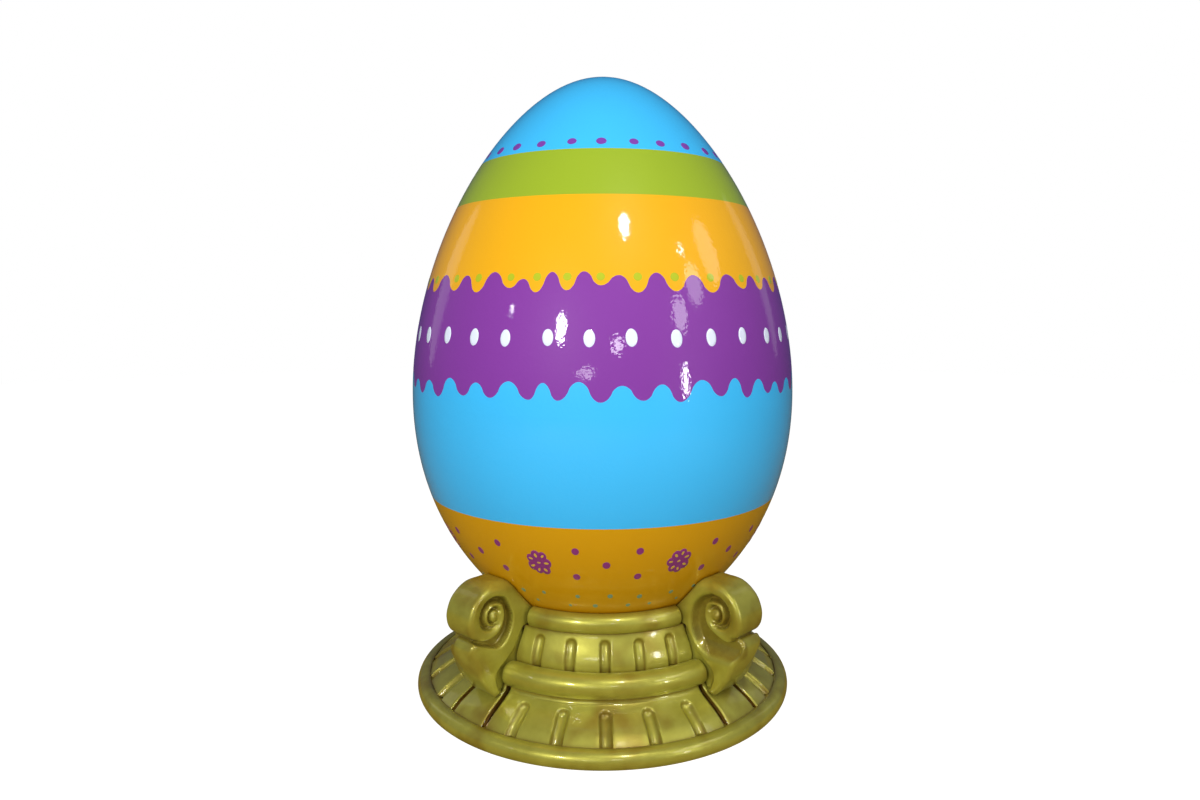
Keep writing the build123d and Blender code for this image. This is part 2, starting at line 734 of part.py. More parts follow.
# Ribs: a pair of plywood plates beside each bracket, cut to the inside of the mouldings
rib_depth = panel_depth + joint_gap
skirt_inside = sunk(skirt_curve, rib_depth)
drum_inside = sunk(drum_curve[1:-1], rib_depth)
rib_back = bead_back_radius - joint_gap
with BuildPart() as rib_room:
    with BuildSketch(Plane.XZ):
        with BuildLine():
            lower = Spline(*skirt_inside)
            upper = Spline(*drum_inside)
            Polyline(
                lower @ 1,
                (rib_back, middle_bead_height - middle_bead / 2),
                (rib_back, middle_bead_height + middle_bead / 2),
                upper @ 0,
            )
            Polyline(upper @ 1, (0, drum_inside[-1][1]), (0, skirt_inside[0][1]), lower @ 0)
        make_face()
    revolve(axis=Axis.Z)
    add(middle_bead_room, mode=Mode.SUBTRACT)
    with BuildSketch(Plane.XZ):
        with Locations((0, board_thickness)):
            Rectangle(ledge_radius - joint_gap, ledge_height - board_thickness, align=(Align.MIN, Align.MIN))
    revolve(axis=Axis.Z)
    with BuildSketch(Plane.XZ):
        add(band_face(drum_curve, 0, rib_depth))
        with Locations((ledge_radius - joint_gap, 0)):
            Rectangle(rim_radius - ledge_radius, ledge_height + joint_gap, align=(Align.MIN, Align.MIN))
    revolve(axis=Axis.Z, mode=Mode.SUBTRACT)

with BuildPart() as rib_pair_master:
    for side in (1, -1):
        with BuildSketch(Plane.XZ.offset(side * (stand_side + rib_thickness / 2))):
            with Locations((rib_inner, board_thickness)):
                Rectangle(rim_radius - rib_inner, top_board_base - board_thickness,
                          align=(Align.MIN, Align.MIN))
        extrude(amount=rib_thickness / 2, both=True)
    add(rib_room, mode=Mode.INTERSECT)

with BuildPart() as backing_master:
    with BuildSketch(Plane.YZ.offset(bracket_back - joint_gap)):
        with Locations((0, board_thickness)):
            Rectangle(2 * stand_side, top_board_base - board_thickness, align=(Align.CENTER, Align.MIN))
        with Locations((0, bracket_bolt_low), (0, bracket_bolt_high)):
            Circle(bolt_radius + hole_clearance, mode=Mode.SUBTRACT)
    extrude(amount=-board_thickness)

for corner, turn in bracket_turns.items():
    with BuildPart() as rib_pair:
        add(rib_pair_master.part.rotate(Axis.Z, turn))
    save(rib_pair.part, f"rib_pair_{corner}")
    with BuildPart() as bracket_backing:
        add(backing_master.part.rotate(Axis.Z, turn))
    save(bracket_backing.part, f"bracket_backing_{corner}")


def bracket_fixings(radius, start, length, bore=0.0):
    """Round pieces on every bracket bolt's axis, from start outwards."""
    with BuildPart() as pieces:
        for turn in bracket_turns.values():
            outwards = Vector(cos(radians(turn)), sin(radians(turn)), 0)
            with BuildSketch(Plane(origin=tuple(outwards * start), x_dir=(0, 0, 1), z_dir=outwards)):
                with Locations((bracket_bolt_low, 0), (bracket_bolt_high, 0)):
                    Circle(radius)
                    if bore:
                        Circle(bore, mode=Mode.SUBTRACT)
            extrude(amount=length)
    return pieces.part


backing_inside = bracket_back - joint_gap - board_thickness
bracket_bolt_head = backing_inside - washer_thickness
with BuildPart() as bracket_washers:
    add(bracket_fixings(washer_radius, bracket_bolt_head, washer_thickness, bolt_radius + joint_gap))
save(bracket_washers.part, "bracket_washers")

with BuildPart() as bracket_inserts:
    add(bracket_fixings(insert_radius, bracket_back, insert_length, bolt_radius + joint_gap))
save(bracket_inserts.part, "bracket_inserts")

with BuildPart() as bracket_bolts:
    add(bracket_fixings(bolt_head_radius, bracket_bolt_head - bolt_head_height, bolt_head_height))
    add(bracket_fixings(bolt_radius, bracket_bolt_head, bracket_back + insert_length - bracket_bolt_head))
save(bracket_bolts.part, "bracket_bolts")

with BuildPart() as egg_rest_pads:
    with BuildSketch(Plane.XY.offset(board_top)):
        with PolarLocations(pad_circle_radius, len(bracket_turns), start_angle=45):
            Circle(pad_radius)
    extrude(amount=pad_thickness)
save(egg_rest_pads.part, "egg_rest_pads")

# Post with its foot plate and gussets, the plate that holds it in the top board, and its cap
with BuildPart() as post_tube:
    add(square_tube(post_side, post_wall, post_base, post_top))
save(post_tube.part, "post_tube")

with BuildPart() as post_foot_plate:
    with BuildSketch(Plane.XY.offset(board_thickness)):
        RectangleRounded(foot_plate_side, foot_plate_side, foot_plate_thickness)
        with Locations(*bolt_places(foot_bolt_spacing)):
            Circle(bolt_radius + hole_clearance, mode=Mode.SUBTRACT)
    extrude(amount=foot_plate_thickness)
save(post_foot_plate.part, "post_foot_plate")

with BuildPart() as post_foot_gussets:
    add(gusset_set(post_side, post_base))
save(post_foot_gussets.part, "post_foot_gussets")

foot_bolt_grip = board_thickness + foot_plate_thickness
with BuildPart() as post_foot_bolts:
    add(bolt_set(foot_bolt_spacing, hole_clearance, foot_bolt_grip))
save(post_foot_bolts.part, "post_foot_bolts")

with BuildPart() as post_foot_washers:
    add(washer_set(foot_bolt_spacing, foot_bolt_grip))
save(post_foot_washers.part, "post_foot_washers")

with BuildPart() as post_foot_nuts:
    add(nut_set(foot_bolt_spacing, foot_bolt_grip + washer_thickness))
save(post_foot_nuts.part, "post_foot_nuts")

with BuildPart() as post_cap:
    with BuildSketch(Plane.XY.offset(post_top)):
        Rectangle(post_side, post_side)
    extrude(amount=post_cap_thickness)
    chamfer(post_cap.edges().group_by(Axis.Z)[-1], length=post_cap_thickness / 2)
save(post_cap.part, "post_cap")

with BuildPart() as post_steady_plate:
    with BuildSketch(Plane.XY.offset(top_board_base - collar_plate_thickness)):
        RectangleRounded(collar_plate_side, collar_plate_side, collar_plate_thickness)
        Rectangle(post_side + joint_gap, post_side + joint_gap, mode=Mode.SUBTRACT)
    extrude(amount=collar_plate_thickness)
save(post_steady_plate.part, "post_steady_plate")
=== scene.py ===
"""Looks of a two-metre painted display egg on a gilded pedestal with four scroll brackets.

Metres, +Z up, front towards -Y. Sizes of the object are fields in millimetres, turned to metres
as the meshes are made. Every visible moulding is a closed mesh over the solid that it stands for.
"""

import json
import logging
import math
from collections.abc import Callable, Sequence
from dataclasses import dataclass, field
from enum import Enum
from itertools import product

import bpy
import numpy as np
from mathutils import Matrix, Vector

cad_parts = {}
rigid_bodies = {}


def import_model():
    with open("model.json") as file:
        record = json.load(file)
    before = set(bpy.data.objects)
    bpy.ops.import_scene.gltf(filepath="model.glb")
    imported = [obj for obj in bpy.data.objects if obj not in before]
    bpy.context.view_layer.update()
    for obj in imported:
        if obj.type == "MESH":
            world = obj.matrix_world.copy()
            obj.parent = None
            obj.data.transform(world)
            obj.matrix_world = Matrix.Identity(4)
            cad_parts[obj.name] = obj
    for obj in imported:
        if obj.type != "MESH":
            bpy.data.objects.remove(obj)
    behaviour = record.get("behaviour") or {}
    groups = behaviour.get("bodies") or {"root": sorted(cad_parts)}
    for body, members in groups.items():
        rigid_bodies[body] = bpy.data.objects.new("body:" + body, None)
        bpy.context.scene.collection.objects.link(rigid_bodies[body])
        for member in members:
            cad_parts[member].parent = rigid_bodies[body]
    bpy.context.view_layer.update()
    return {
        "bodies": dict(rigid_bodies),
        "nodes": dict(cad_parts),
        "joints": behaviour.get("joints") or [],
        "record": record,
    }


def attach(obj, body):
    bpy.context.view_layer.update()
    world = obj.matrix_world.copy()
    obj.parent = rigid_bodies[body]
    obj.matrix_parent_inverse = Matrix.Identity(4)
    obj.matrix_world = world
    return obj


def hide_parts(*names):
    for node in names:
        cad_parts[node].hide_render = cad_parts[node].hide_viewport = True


log = logging.getLogger("egg")

Array = np.ndarray
Material = bpy.types.Material
Piece = bpy.types.Object
Points = tuple[tuple[float, ...], ...]
Socket = bpy.types.NodeSocket
Tree = bpy.types.NodeTree

MM = 0.001
VIEW_TURN = -1.0
WHITE = (1.0, 1.0, 1.0, 1.0)
SIDES = {"front": -90.0, "right": 0.0, "back": 90.0, "left": 180.0}
CORNERS = {"front_right": -45.0, "back_right": 45.0, "back_left": 135.0, "front_left": -135.0}


class Body(Enum):
    """The two bodies that the pieces ride on."""

    EGG = "egg"
    STAND = "stand"


class Slot(Enum):
    """Material slots of the record, named for each new piece; nothing reads them."""

    EGG_PAINT = "egg_paint"
    GOLD_PAINT = "gold_paint"


def linear(hex_colour: str) -> tuple[float, float, float, float]:
    """Turn an sRGB hex colour into linear light.

    Args:
        hex_colour: a colour such as "#46C3FF".

    Returns:
        Red, green, blue and an alpha of one.
    """
    channels = [int(hex_colour[k:k + 2], 16) / 255 for k in (1, 3, 5)]
    red, green, blue = (c / 12.92 if c <= 0.04045 else ((c + 0.055) / 1.055) ** 2.4 for c in channels)
    return red, green, blue, 1.0


def feed(tree: Tree, node: bpy.types.Node, inputs: dict) -> None:
    """Set a node's inputs.

    Args:
        tree: the node tree.
        node: the node.
        inputs: socket values or sockets to link from, by input name or index.
    """
    for name, value in inputs.items():
        if isinstance(value, Socket):
            tree.links.new(value, node.inputs[name])
        else:
            node.inputs[name].default_value = value


def add_node(tree: Tree, kind: str, settings: dict | None = None,
             inputs: dict | None = None) -> bpy.types.Node:
    """Add a node with its settings and its inputs.

    Args:
        tree: the node tree.
        kind: the node's Blender type name.
        settings: attribute values by name.
        inputs: socket values or sockets to link from, by input name or index.

    Returns:
        The new node.
    """
    made = tree.nodes.new(kind)
    for name, value in (settings or {}).items():
        setattr(made, name, value)
    feed(tree, made, inputs or {})
    return made


def noise(tree: Tree, place: Socket, size_mm: float, detail: float, **more: float) -> Socket:
    """Value of a noise whose features have about this size.

    Args:
        tree: the node tree.
        place: the coordinates that it follows.
        size_mm: size of its features.
        detail: number of finer layers.
        more: further inputs by name.

    Returns:
        The noise's value.
    """
    return add_node(tree, "ShaderNodeTexNoise", inputs={
        "Vector": place, "Scale": 1.0 / (size_mm * MM), "Detail": detail, **more}).outputs["Fac"]


def blend(tree: Tree, share: Socket, first: object, second: object) -> Socket:
    """Colour between two colours, each a socket or a linear colour, by a share from 0 to 1."""
    return add_node(tree, "ShaderNodeMix", {"data_type": "RGBA"}, {
        "Factor": share, "A": first, "B": second}).outputs["Result"]


def bump(tree: Tree, height: Socket, strength: float, depth_mm: float, **more: Socket) -> Socket:
    """Normal that follows a height, with this strength and depth."""
    return add_node(tree, "ShaderNodeBump", inputs={
        "Height": height, "Strength": strength, "Distance": depth_mm * MM, **more}).outputs["Normal"]


def spread(tree: Tree, value: Socket, low: object, high: object, **more: float) -> Socket:
    """Value moved from the range 0 to 1, or the one given, to the range from low to high."""
    return add_node(tree, "ShaderNodeMapRange", inputs={
        "Value": value, "To Min": low, "To Max": high, **more}).outputs["Result"]


def blank_material(name: str) -> tuple[Material, Tree, bpy.types.Node, Socket]:
    """Make a material with only a Principled shader and its output.

    Args:
        name: the material's name.

    Returns:
        The material, its node tree, its shader node and the object's own coordinates.
    """
    material = bpy.data.materials.new(name)
    material.use_nodes = True
    tree = material.node_tree
    tree.nodes.clear()
    shader = add_node(tree, "ShaderNodeBsdfPrincipled")
    add_node(tree, "ShaderNodeOutputMaterial", inputs={"Surface": shader.outputs["BSDF"]})
    return material, tree, shader, add_node(tree, "ShaderNodeTexCoord").outputs["Object"]


@dataclass(frozen=True)
class SprayedEnamel:
    """Two-pack enamel sprayed over gelcoat: even colour under a hard, wet-looking clear coat."""

    name: str
    colour: str
    orange_peel_mm: float = 9.0
    peel_strength: float = 0.03
    peel_depth_mm: float = 10.0
    cloud_mm: float = 260.0
    cloud_share: float = 0.05
    roughness: float = 0.45
    ior: float = 1.45
    specular: float = 0.25
    coat: float = 0.8
    coat_roughness: float = 0.035

    def make(self) -> Material:
        """Build the material.

        Returns:
            The material.
        """
        material, tree, shader, place = blank_material(self.name)
        colour = linear(self.colour)
        darker = [c * (1 - self.cloud_share) for c in colour[:3]] + [1.0]
        clouds = noise(tree, place, self.cloud_mm, 2.0)
        peel = noise(tree, place, self.orange_peel_mm, 1.0)
        normal = bump(tree, peel, self.peel_strength, self.peel_depth_mm)
        feed(tree, shader, {
            "Base Color": blend(tree, clouds, colour, darker), "Normal": normal, "Coat Normal": normal,
            "Roughness": self.roughness, "IOR": self.ior, "Specular IOR Level": self.specular,
            "Coat Weight": self.coat, "Coat Roughness": self.coat_roughness})
        return material


@dataclass(frozen=True)
class AntiqueGold:
    """Gold bronze paint, semi-gloss, browned in the hollows and at the joints: partly brown glazing wiped
    in, partly painted shade.

    The brown follows the point attribute set on each mesh, and the brush marks.
    """

    name: str = "antique_gold_paint"
    gold: str = "#CCC854"
    green_gold: str = "#9E962C"
    # Brown for the hollows and joints: partly glazing, partly painted shade.
    glaze_and_shade: str = "#6E4A0C"
    patina: str = "#8A6414"
    patina_mm: float = 150.0
    patina_start: float = 0.5
    patina_end: float = 0.72
    patina_share: float = 0.55
    mottle_mm: float = 75.0
    brush_mm: float = 16.0
    brush_strength: float = 0.12
    brush_depth_mm: float = 4.0
    spatter_mm: float = 4.0
    spatter_strength: float = 0.05
    spatter_depth_mm: float = 1.0
    glaze_and_shade_swing: float = 0.9
    glaze_and_shade_least: float = 0.55
    metallic: float = 0.55
    smoothest: float = 0.3
    roughest: float = 0.46
    coat: float = 0.6
    coat_roughness: float = 0.09

    def make(self) -> Material:
        """Build the material.

        Returns:
            The material.
        """
        material, tree, shader, place = blank_material(self.name)
        mottle = noise(tree, place, self.mottle_mm, 3.0, Roughness=0.6)
        gold = blend(tree, mottle, linear(self.gold), linear(self.green_gold))
        patches = noise(tree, place, self.patina_mm, 2.5, Roughness=0.55)
        aged = spread(tree, patches, 0.0, self.patina_share, **{
            "From Min": self.patina_start, "From Max": self.patina_end})
        gold = blend(tree, aged, gold, linear(self.patina))
        # Brown where the mesh attribute says, thinned by the brush marks: partly glazing, partly painted
        # shade in hollows, recesses and joints.
        hollow = add_node(tree, "ShaderNodeAttribute", {"attribute_name": "glaze_and_shade"})
        brush = noise(tree, place, self.brush_mm, 4.0, Roughness=0.65)
        uneven = add_node(tree, "ShaderNodeMath", {"operation": "MULTIPLY_ADD"}, {
            0: brush, 1: self.glaze_and_shade_swing, 2: self.glaze_and_shade_least})
        brown_share = add_node(tree, "ShaderNodeMath", {"operation": "MULTIPLY", "use_clamp": True}, {
            0: hollow.outputs["Fac"], 1: uneven.outputs["Value"]})
        waves = bump(tree, brush, self.brush_strength, self.brush_depth_mm)
        spatter = noise(tree, place, self.spatter_mm, 2.0)
        grain = bump(tree, spatter, self.spatter_strength, self.spatter_depth_mm, Normal=waves)
        feed(tree, shader, {
            "Base Color": blend(tree, brown_share.outputs["Value"], gold, linear(self.glaze_and_shade)),
            "Roughness": spread(tree, brush, self.smoothest, self.roughest), "Normal": grain,
            "Metallic": self.metallic, "Coat Weight": self.coat, "Coat Roughness": self.coat_roughness})
        return material


@dataclass(frozen=True)
class RawLaminate:
    """Unpainted fibreglass laminate: the pale, slightly wavy inside of the shell."""

    name: str = "raw_fibreglass_laminate"
    strand_colour: str = "#C9C6AE"
    resin_colour: str = "#A9A68A"
    strand_mm: float = 22.0
    relief_strength: float = 0.5
    relief_depth_mm: float = 3.0
    roughness: float = 0.55

    def make(self) -> Material:
        """Build the material.

        Returns:
            The material.
        """
        material, tree, shader, place = blank_material(self.name)
        strands = noise(tree, place, self.strand_mm, 6.0, Distortion=2.5)
        feed(tree, shader, {
            "Base Color": blend(tree, strands, linear(self.strand_colour), linear(self.resin_colour)),
            "Normal": bump(tree, strands, self.relief_strength, self.relief_depth_mm),
            "Roughness": self.roughness})
        return material


@dataclass(frozen=True)
class PlainFinish:
    """Even finish with a fine grain: primer, plating, turned metal or moulded rubber."""

    name: str
    colour: str
    worn_colour: str
    roughness: float
    grain_mm: float
    grain_strength: float
    metallic: float = 0.0
    grain_depth_mm: float = 1.0

    def make(self) -> Material:
        """Build the material.

        Returns:
            The material.
        """
        material, tree, shader, place = blank_material(self.name)
        grain = noise(tree, place, self.grain_mm, 3.0)
        feed(tree, shader, {
            "Base Color": blend(tree, grain, linear(self.colour), linear(self.worn_colour)),
            "Normal": bump(tree, grain, self.grain_strength, self.grain_depth_mm),
            "Roughness": self.roughness, "Metallic": self.metallic})
        return material


@dataclass(frozen=True)
class BirchPlywood:
    """Bare birch plywood: long grain on its faces, thin plies on its edges."""

    name: str = "bare_birch_plywood"
    face_colours: tuple[str, str] = ("#DDBE8F", "#C09865")
    edge_colours: tuple[str, str] = ("#CDAA78", "#8E6A41")
    grain_mm: float = 9.0
    grain_stretch: float = 0.06
    ply_mm: float = 3.0
    waves_per_unit: float = 20.0
    ply_distortion: float = 0.4
    roughness: float = 0.65

    def make(self) -> Material:
        """Build the material.

        Returns:
            The material.
        """
        material, tree, shader, place = blank_material(self.name)
        long_way = add_node(tree, "ShaderNodeMapping", inputs={
            "Vector": place, "Scale": (self.grain_stretch, 1.0, 1.0)})
        grain = noise(tree, long_way.outputs["Vector"], self.grain_mm, 6.0)
        plies = add_node(tree, "ShaderNodeTexWave", {"bands_direction": "Z"}, {
            "Vector": place, "Scale": 1.0 / (self.ply_mm * MM * self.waves_per_unit),
            "Distortion": self.ply_distortion})
        facing = add_node(tree, "ShaderNodeNewGeometry").outputs["True Normal"]
        upright = add_node(tree, "ShaderNodeSeparateXYZ", inputs={"Vector": facing})
        level = add_node(tree, "ShaderNodeMath", {"operation": "ABSOLUTE"}, {0: upright.outputs["Z"]})
        face = blend(tree, grain, *map(linear, self.face_colours))
        edge = blend(tree, plies.outputs["Fac"], *map(linear, self.edge_colours))
        feed(tree, shader, {
            "Base Color": blend(tree, level.outputs["Value"], edge, face), "Roughness": self.roughness})
        return material


def smooth_step(value: Array) -> Array:
    """Ease from 0 to 1 as the value goes from 0 to 1."""
    t = np.clip(value, 0.0, 1.0)
    return t * t * (3 - 2 * t)


def ramp(value: Array, start: float, end: float) -> Array:
    """Smooth rise from 0 at the start to 1 at the end, which may lie on either side of it."""
    return smooth_step((value - start) / (end - start))


def seam(away: Array, strength: float, width: float) -> Array:
    """Glaze that gathers along a seam and thins out with the distance to it."""
    return strength * np.exp(-away / width)


def smooth_curve(points: Sequence[tuple[float, ...]], steps: int) -> Array:
    """Catmull-Rom curve through the points.

    Args:
        points: the points, in any number of dimensions.
        steps: stretches between each two points.

    Returns:
        The curve's points, one row each.
    """
    p = np.array(points, float)
    p = np.vstack([2 * p[0] - p[1], p, 2 * p[-1] - p[-2]])
    t = np.arange(steps)[:, None] / steps
    rows = []
    for a, b, c, d in zip(p[:-3], p[1:-2], p[2:-1], p[3:]):
        rows.append(0.5 * (2 * b + (c - a) * t + (2 * a - 5 * b + 4 * c - d) * t**2
                           + (3 * b - a - 3 * c + d) * t**3))
    return np.vstack(rows + [p[-2:-1]])


def make_mesh(name: str, points: Array, faces: list, glaze_and_shade: Array | None = None,
              sharp_angle: float = 50.0) -> Piece:
    """Make a smooth-shaded object from points in millimetres.

    Args:
        name: the piece's name.
        points: one row for each point.
        faces: tuples of point numbers.
        glaze_and_shade: how much brown each point holds, 0 to 1: partly glazing, partly painted shade in
            hollows and joints.
        sharp_angle: edges that turn by more degrees than this are kept crisp.

    Returns:
        The object, linked into the scene.
    """
    mesh = bpy.data.meshes.new(name)
    mesh.from_pydata((points * MM).tolist(), [], faces)
    mesh.polygons.foreach_set("use_smooth", [True] * len(mesh.polygons))
    if glaze_and_shade is not None:
        layer = mesh.attributes.new("glaze_and_shade", "FLOAT", "POINT")
        layer.data.foreach_set("value", np.clip(glaze_and_shade, 0, 1).astype(np.float32))
    mesh.validate()
    mesh.set_sharp_from_angle(angle=math.radians(sharp_angle))
    mesh.update()
    piece = bpy.data.objects.new(name, mesh)
    bpy.context.scene.collection.objects.link(piece)
    return piece


def grid_faces(rows: int, columns: int, closed: bool, start: int = 0) -> Array:
    """Quads of a grid of points stored row by row.

    Args:
        rows: number of rows.
        columns: points in each row.
        closed: True where each row's end joins its start.
        start: number of the first point.

    Returns:
        Four point numbers for each quad.
    """
    last = columns if closed else columns - 1
    r, c = np.meshgrid(np.arange(rows - 1), np.arange(last), indexing="ij")
    here = start + r * columns + c
    right = start + r * columns + (c + 1) % columns
    return np.stack([here, right, right + columns, here + columns], -1).reshape(-1, 4)


def closed_sheet(front: Array, back: Array) -> tuple[Array, list]:
    """Join two grids of the same shape along their borders into one closed form.

    Args:
        front: outer points, rows by columns by 3.
        back: inner points, the same shape.

    Returns:
        The points and the faces.
    """
    rows, columns = front.shape[:2]
    count = rows * columns
    points = np.vstack([front.reshape(-1, 3), back.reshape(-1, 3)])
    faces = grid_faces(rows, columns, False)
    behind = grid_faces(rows, columns, False, count)[:, ::-1]
    border = (list(range(columns)) + [r * columns + columns - 1 for r in range(1, rows)]
              + [(rows - 1) * columns + c for c in range(columns - 2, -1, -1)]
              + [r * columns for r in range(rows - 2, 0, -1)])
    rim = [(b, a, a + count, b + count) for a, b in zip(border, border[1:] + border[:1])]
    return points, faces.tolist() + behind.tolist() + rim


def turned(points: Array, degrees: float) -> Array:
    """Turn points about the upright axis."""
    c, s = math.cos(math.radians(degrees)), math.sin(math.radians(degrees))
    return points @ np.array([[c, s, 0], [-s, c, 0], [0, 0, 1]])


def round_axis(radius: Array | float, turn: Array, height: Array) -> Array:
    """Points at a radius, a turn in radians from the right side and a height."""
    return np.stack([radius * np.cos(turn), radius * np.sin(turn), height], -1)


def finish_piece(piece: Piece, body: Body, slot: Slot, materials: Sequence[Material], *nodes: str) -> None:
    """Finish a piece and report it.

    Args:
        piece: the piece.
        body: the body that it rides on.
        slot: its slot of the record; not used.
        materials: its materials in order.
        nodes: the nodes that it stands for, if any.
    """
    for material in materials:
        piece.data.materials.append(material)
    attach(piece, body.value)
    if nodes:
        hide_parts(*nodes)
    log.info("%s: %d faces", piece.name, len(piece.data.polygons))


def place_round(name: str, kind: str, places: dict[str, float], points: Array, faces: list,
                glaze_and_shade: Array, material: Material) -> None:
    """Set a gilded moulding round the pedestal, one piece for each node that it stands for.

    Args:
        name: what the nodes' names start with.
        kind: what the pieces' names end with.
        places: degrees to turn each piece by, by the end of its node's name.
        points: the moulding's points.
        faces: its faces.
        glaze_and_shade: how much brown each point holds: partly glazing, partly painted shade in hollows
            and joints.
        material: its paint.
    """
    for place, degrees in places.items():
        piece = make_mesh(f"{name}_{place}_{kind}", turned(points, degrees), faces, glaze_and_shade)
        finish_piece(piece, Body.STAND, Slot.GOLD_PAINT, [material], f"{name}_{place}")


@dataclass
class EggOutline:
    """Outline of the egg: half width and height from the sine of an angle."""

    radius: float = 617.0
    half_height: float = 911.6
    centre_height: float = 1080.1
    outline_shares: tuple[float, ...] = (1.0, -0.1394, -0.0635, 0.0608, -0.0630)
    floor_height: float = 301.0
    joint_share: float = -0.1136

    @property
    def crown(self) -> float:
        """Height of the egg's top."""
        return self.centre_height + self.half_height

    def angle(self, height: Array | float) -> Array:
        """Angle whose point on the outline has this height."""
        return np.arcsin(np.clip((np.asarray(height) - self.centre_height) / self.half_height, -1, 1))

    def point(self, angle: Array, depth: float = 0.0) -> tuple[Array, Array]:
        """Radius and height on the outline, moved inwards.

        Args:
            angle: angles from -pi/2 at the bottom to pi/2 at the crown.
            depth: how far inside the skin.

        Returns:
            Radii and heights.
        """
        s, c = np.sin(angle), np.cos(angle)
        shape = sum(share * s**k for k, share in enumerate(self.outline_shares))
        slope = sum(k * share * s**(k - 1) for k, share in enumerate(self.outline_shares) if k) * c
        across = self.radius * (c * slope - s * shape)
        up = self.half_height * c
        length = np.hypot(across, up)
        return (self.radius * c * shape - depth * up / length,
                self.centre_height + self.half_height * s + depth * across / length)

    def radius_at(self, height: Array) -> Array:
        """Radius of the egg at a height."""
        return self.point(self.angle(height))[0]

    def surface(self, turn: Array, height: Array, lift: float = 0.0) -> Array:
        """Points on the egg.

        Args:
            turn: degrees to the right of the front.
            height: heights above the floor.
            lift: how far outside the skin.

        Returns:
            One row of x, y, z for each point.
        """
        radius, z = self.point(self.angle(height), -lift)
        t = np.radians(turn)
        return np.stack([radius * np.sin(t), -radius * np.cos(t), z], -1)


@dataclass
class Wave:
    """Hand-cut wavy edge between two colours: its lobes, counted to the right from a first trough."""

    first_trough: float
    widths: tuple[float, ...]
    troughs: tuple[float, ...]
    crests: tuple[float, ...]
    repeats: int = 2
    fullness: float = 0.68

    def lobes(self) -> list[tuple[float, float, float, float]]:
        """Work out the lobes all round the egg.

        Returns:
            Start and width in degrees, trough and crest height of each lobe.
        """
        rest = (360.0 - sum(self.widths)) / (self.repeats * sum(self.widths))
        widths = list(self.widths) + [w * rest for w in self.widths] * self.repeats
        heights = list(zip(self.troughs, self.crests)) * (self.repeats + 1)
        starts = self.first_trough + np.cumsum([0.0] + widths[:-1])
        return [(s, w, low, high) for s, w, (low, high) in zip(starts, widths, heights)]

    def height(self, turn: Array) -> Array:
        """Height of the edge.

        Args:
            turn: turns in degrees.

        Returns:
            The height at each turn.
        """
        knots, heights = [], []
        for start, width, trough, crest in self.lobes():
            knots += [start, start + width / 2]
            heights += [trough, crest]
        knots.append(knots[0] + 360.0)
        heights.append(heights[0])
        knots, heights = np.array(knots), np.array(heights)
        around = (turn - VIEW_TURN - knots[0]) % 360.0 + knots[0]
        k = np.clip(np.searchsorted(knots, around, "right") - 1, 0, len(knots) - 2)
        share = (around - knots[k]) / (knots[k + 1] - knots[k])
        swing = np.cos(np.pi * share)
        swing = np.sign(swing) * np.abs(swing) ** self.fullness
        return heights[k] + (heights[k + 1] - heights[k]) * (1 - swing) / 2


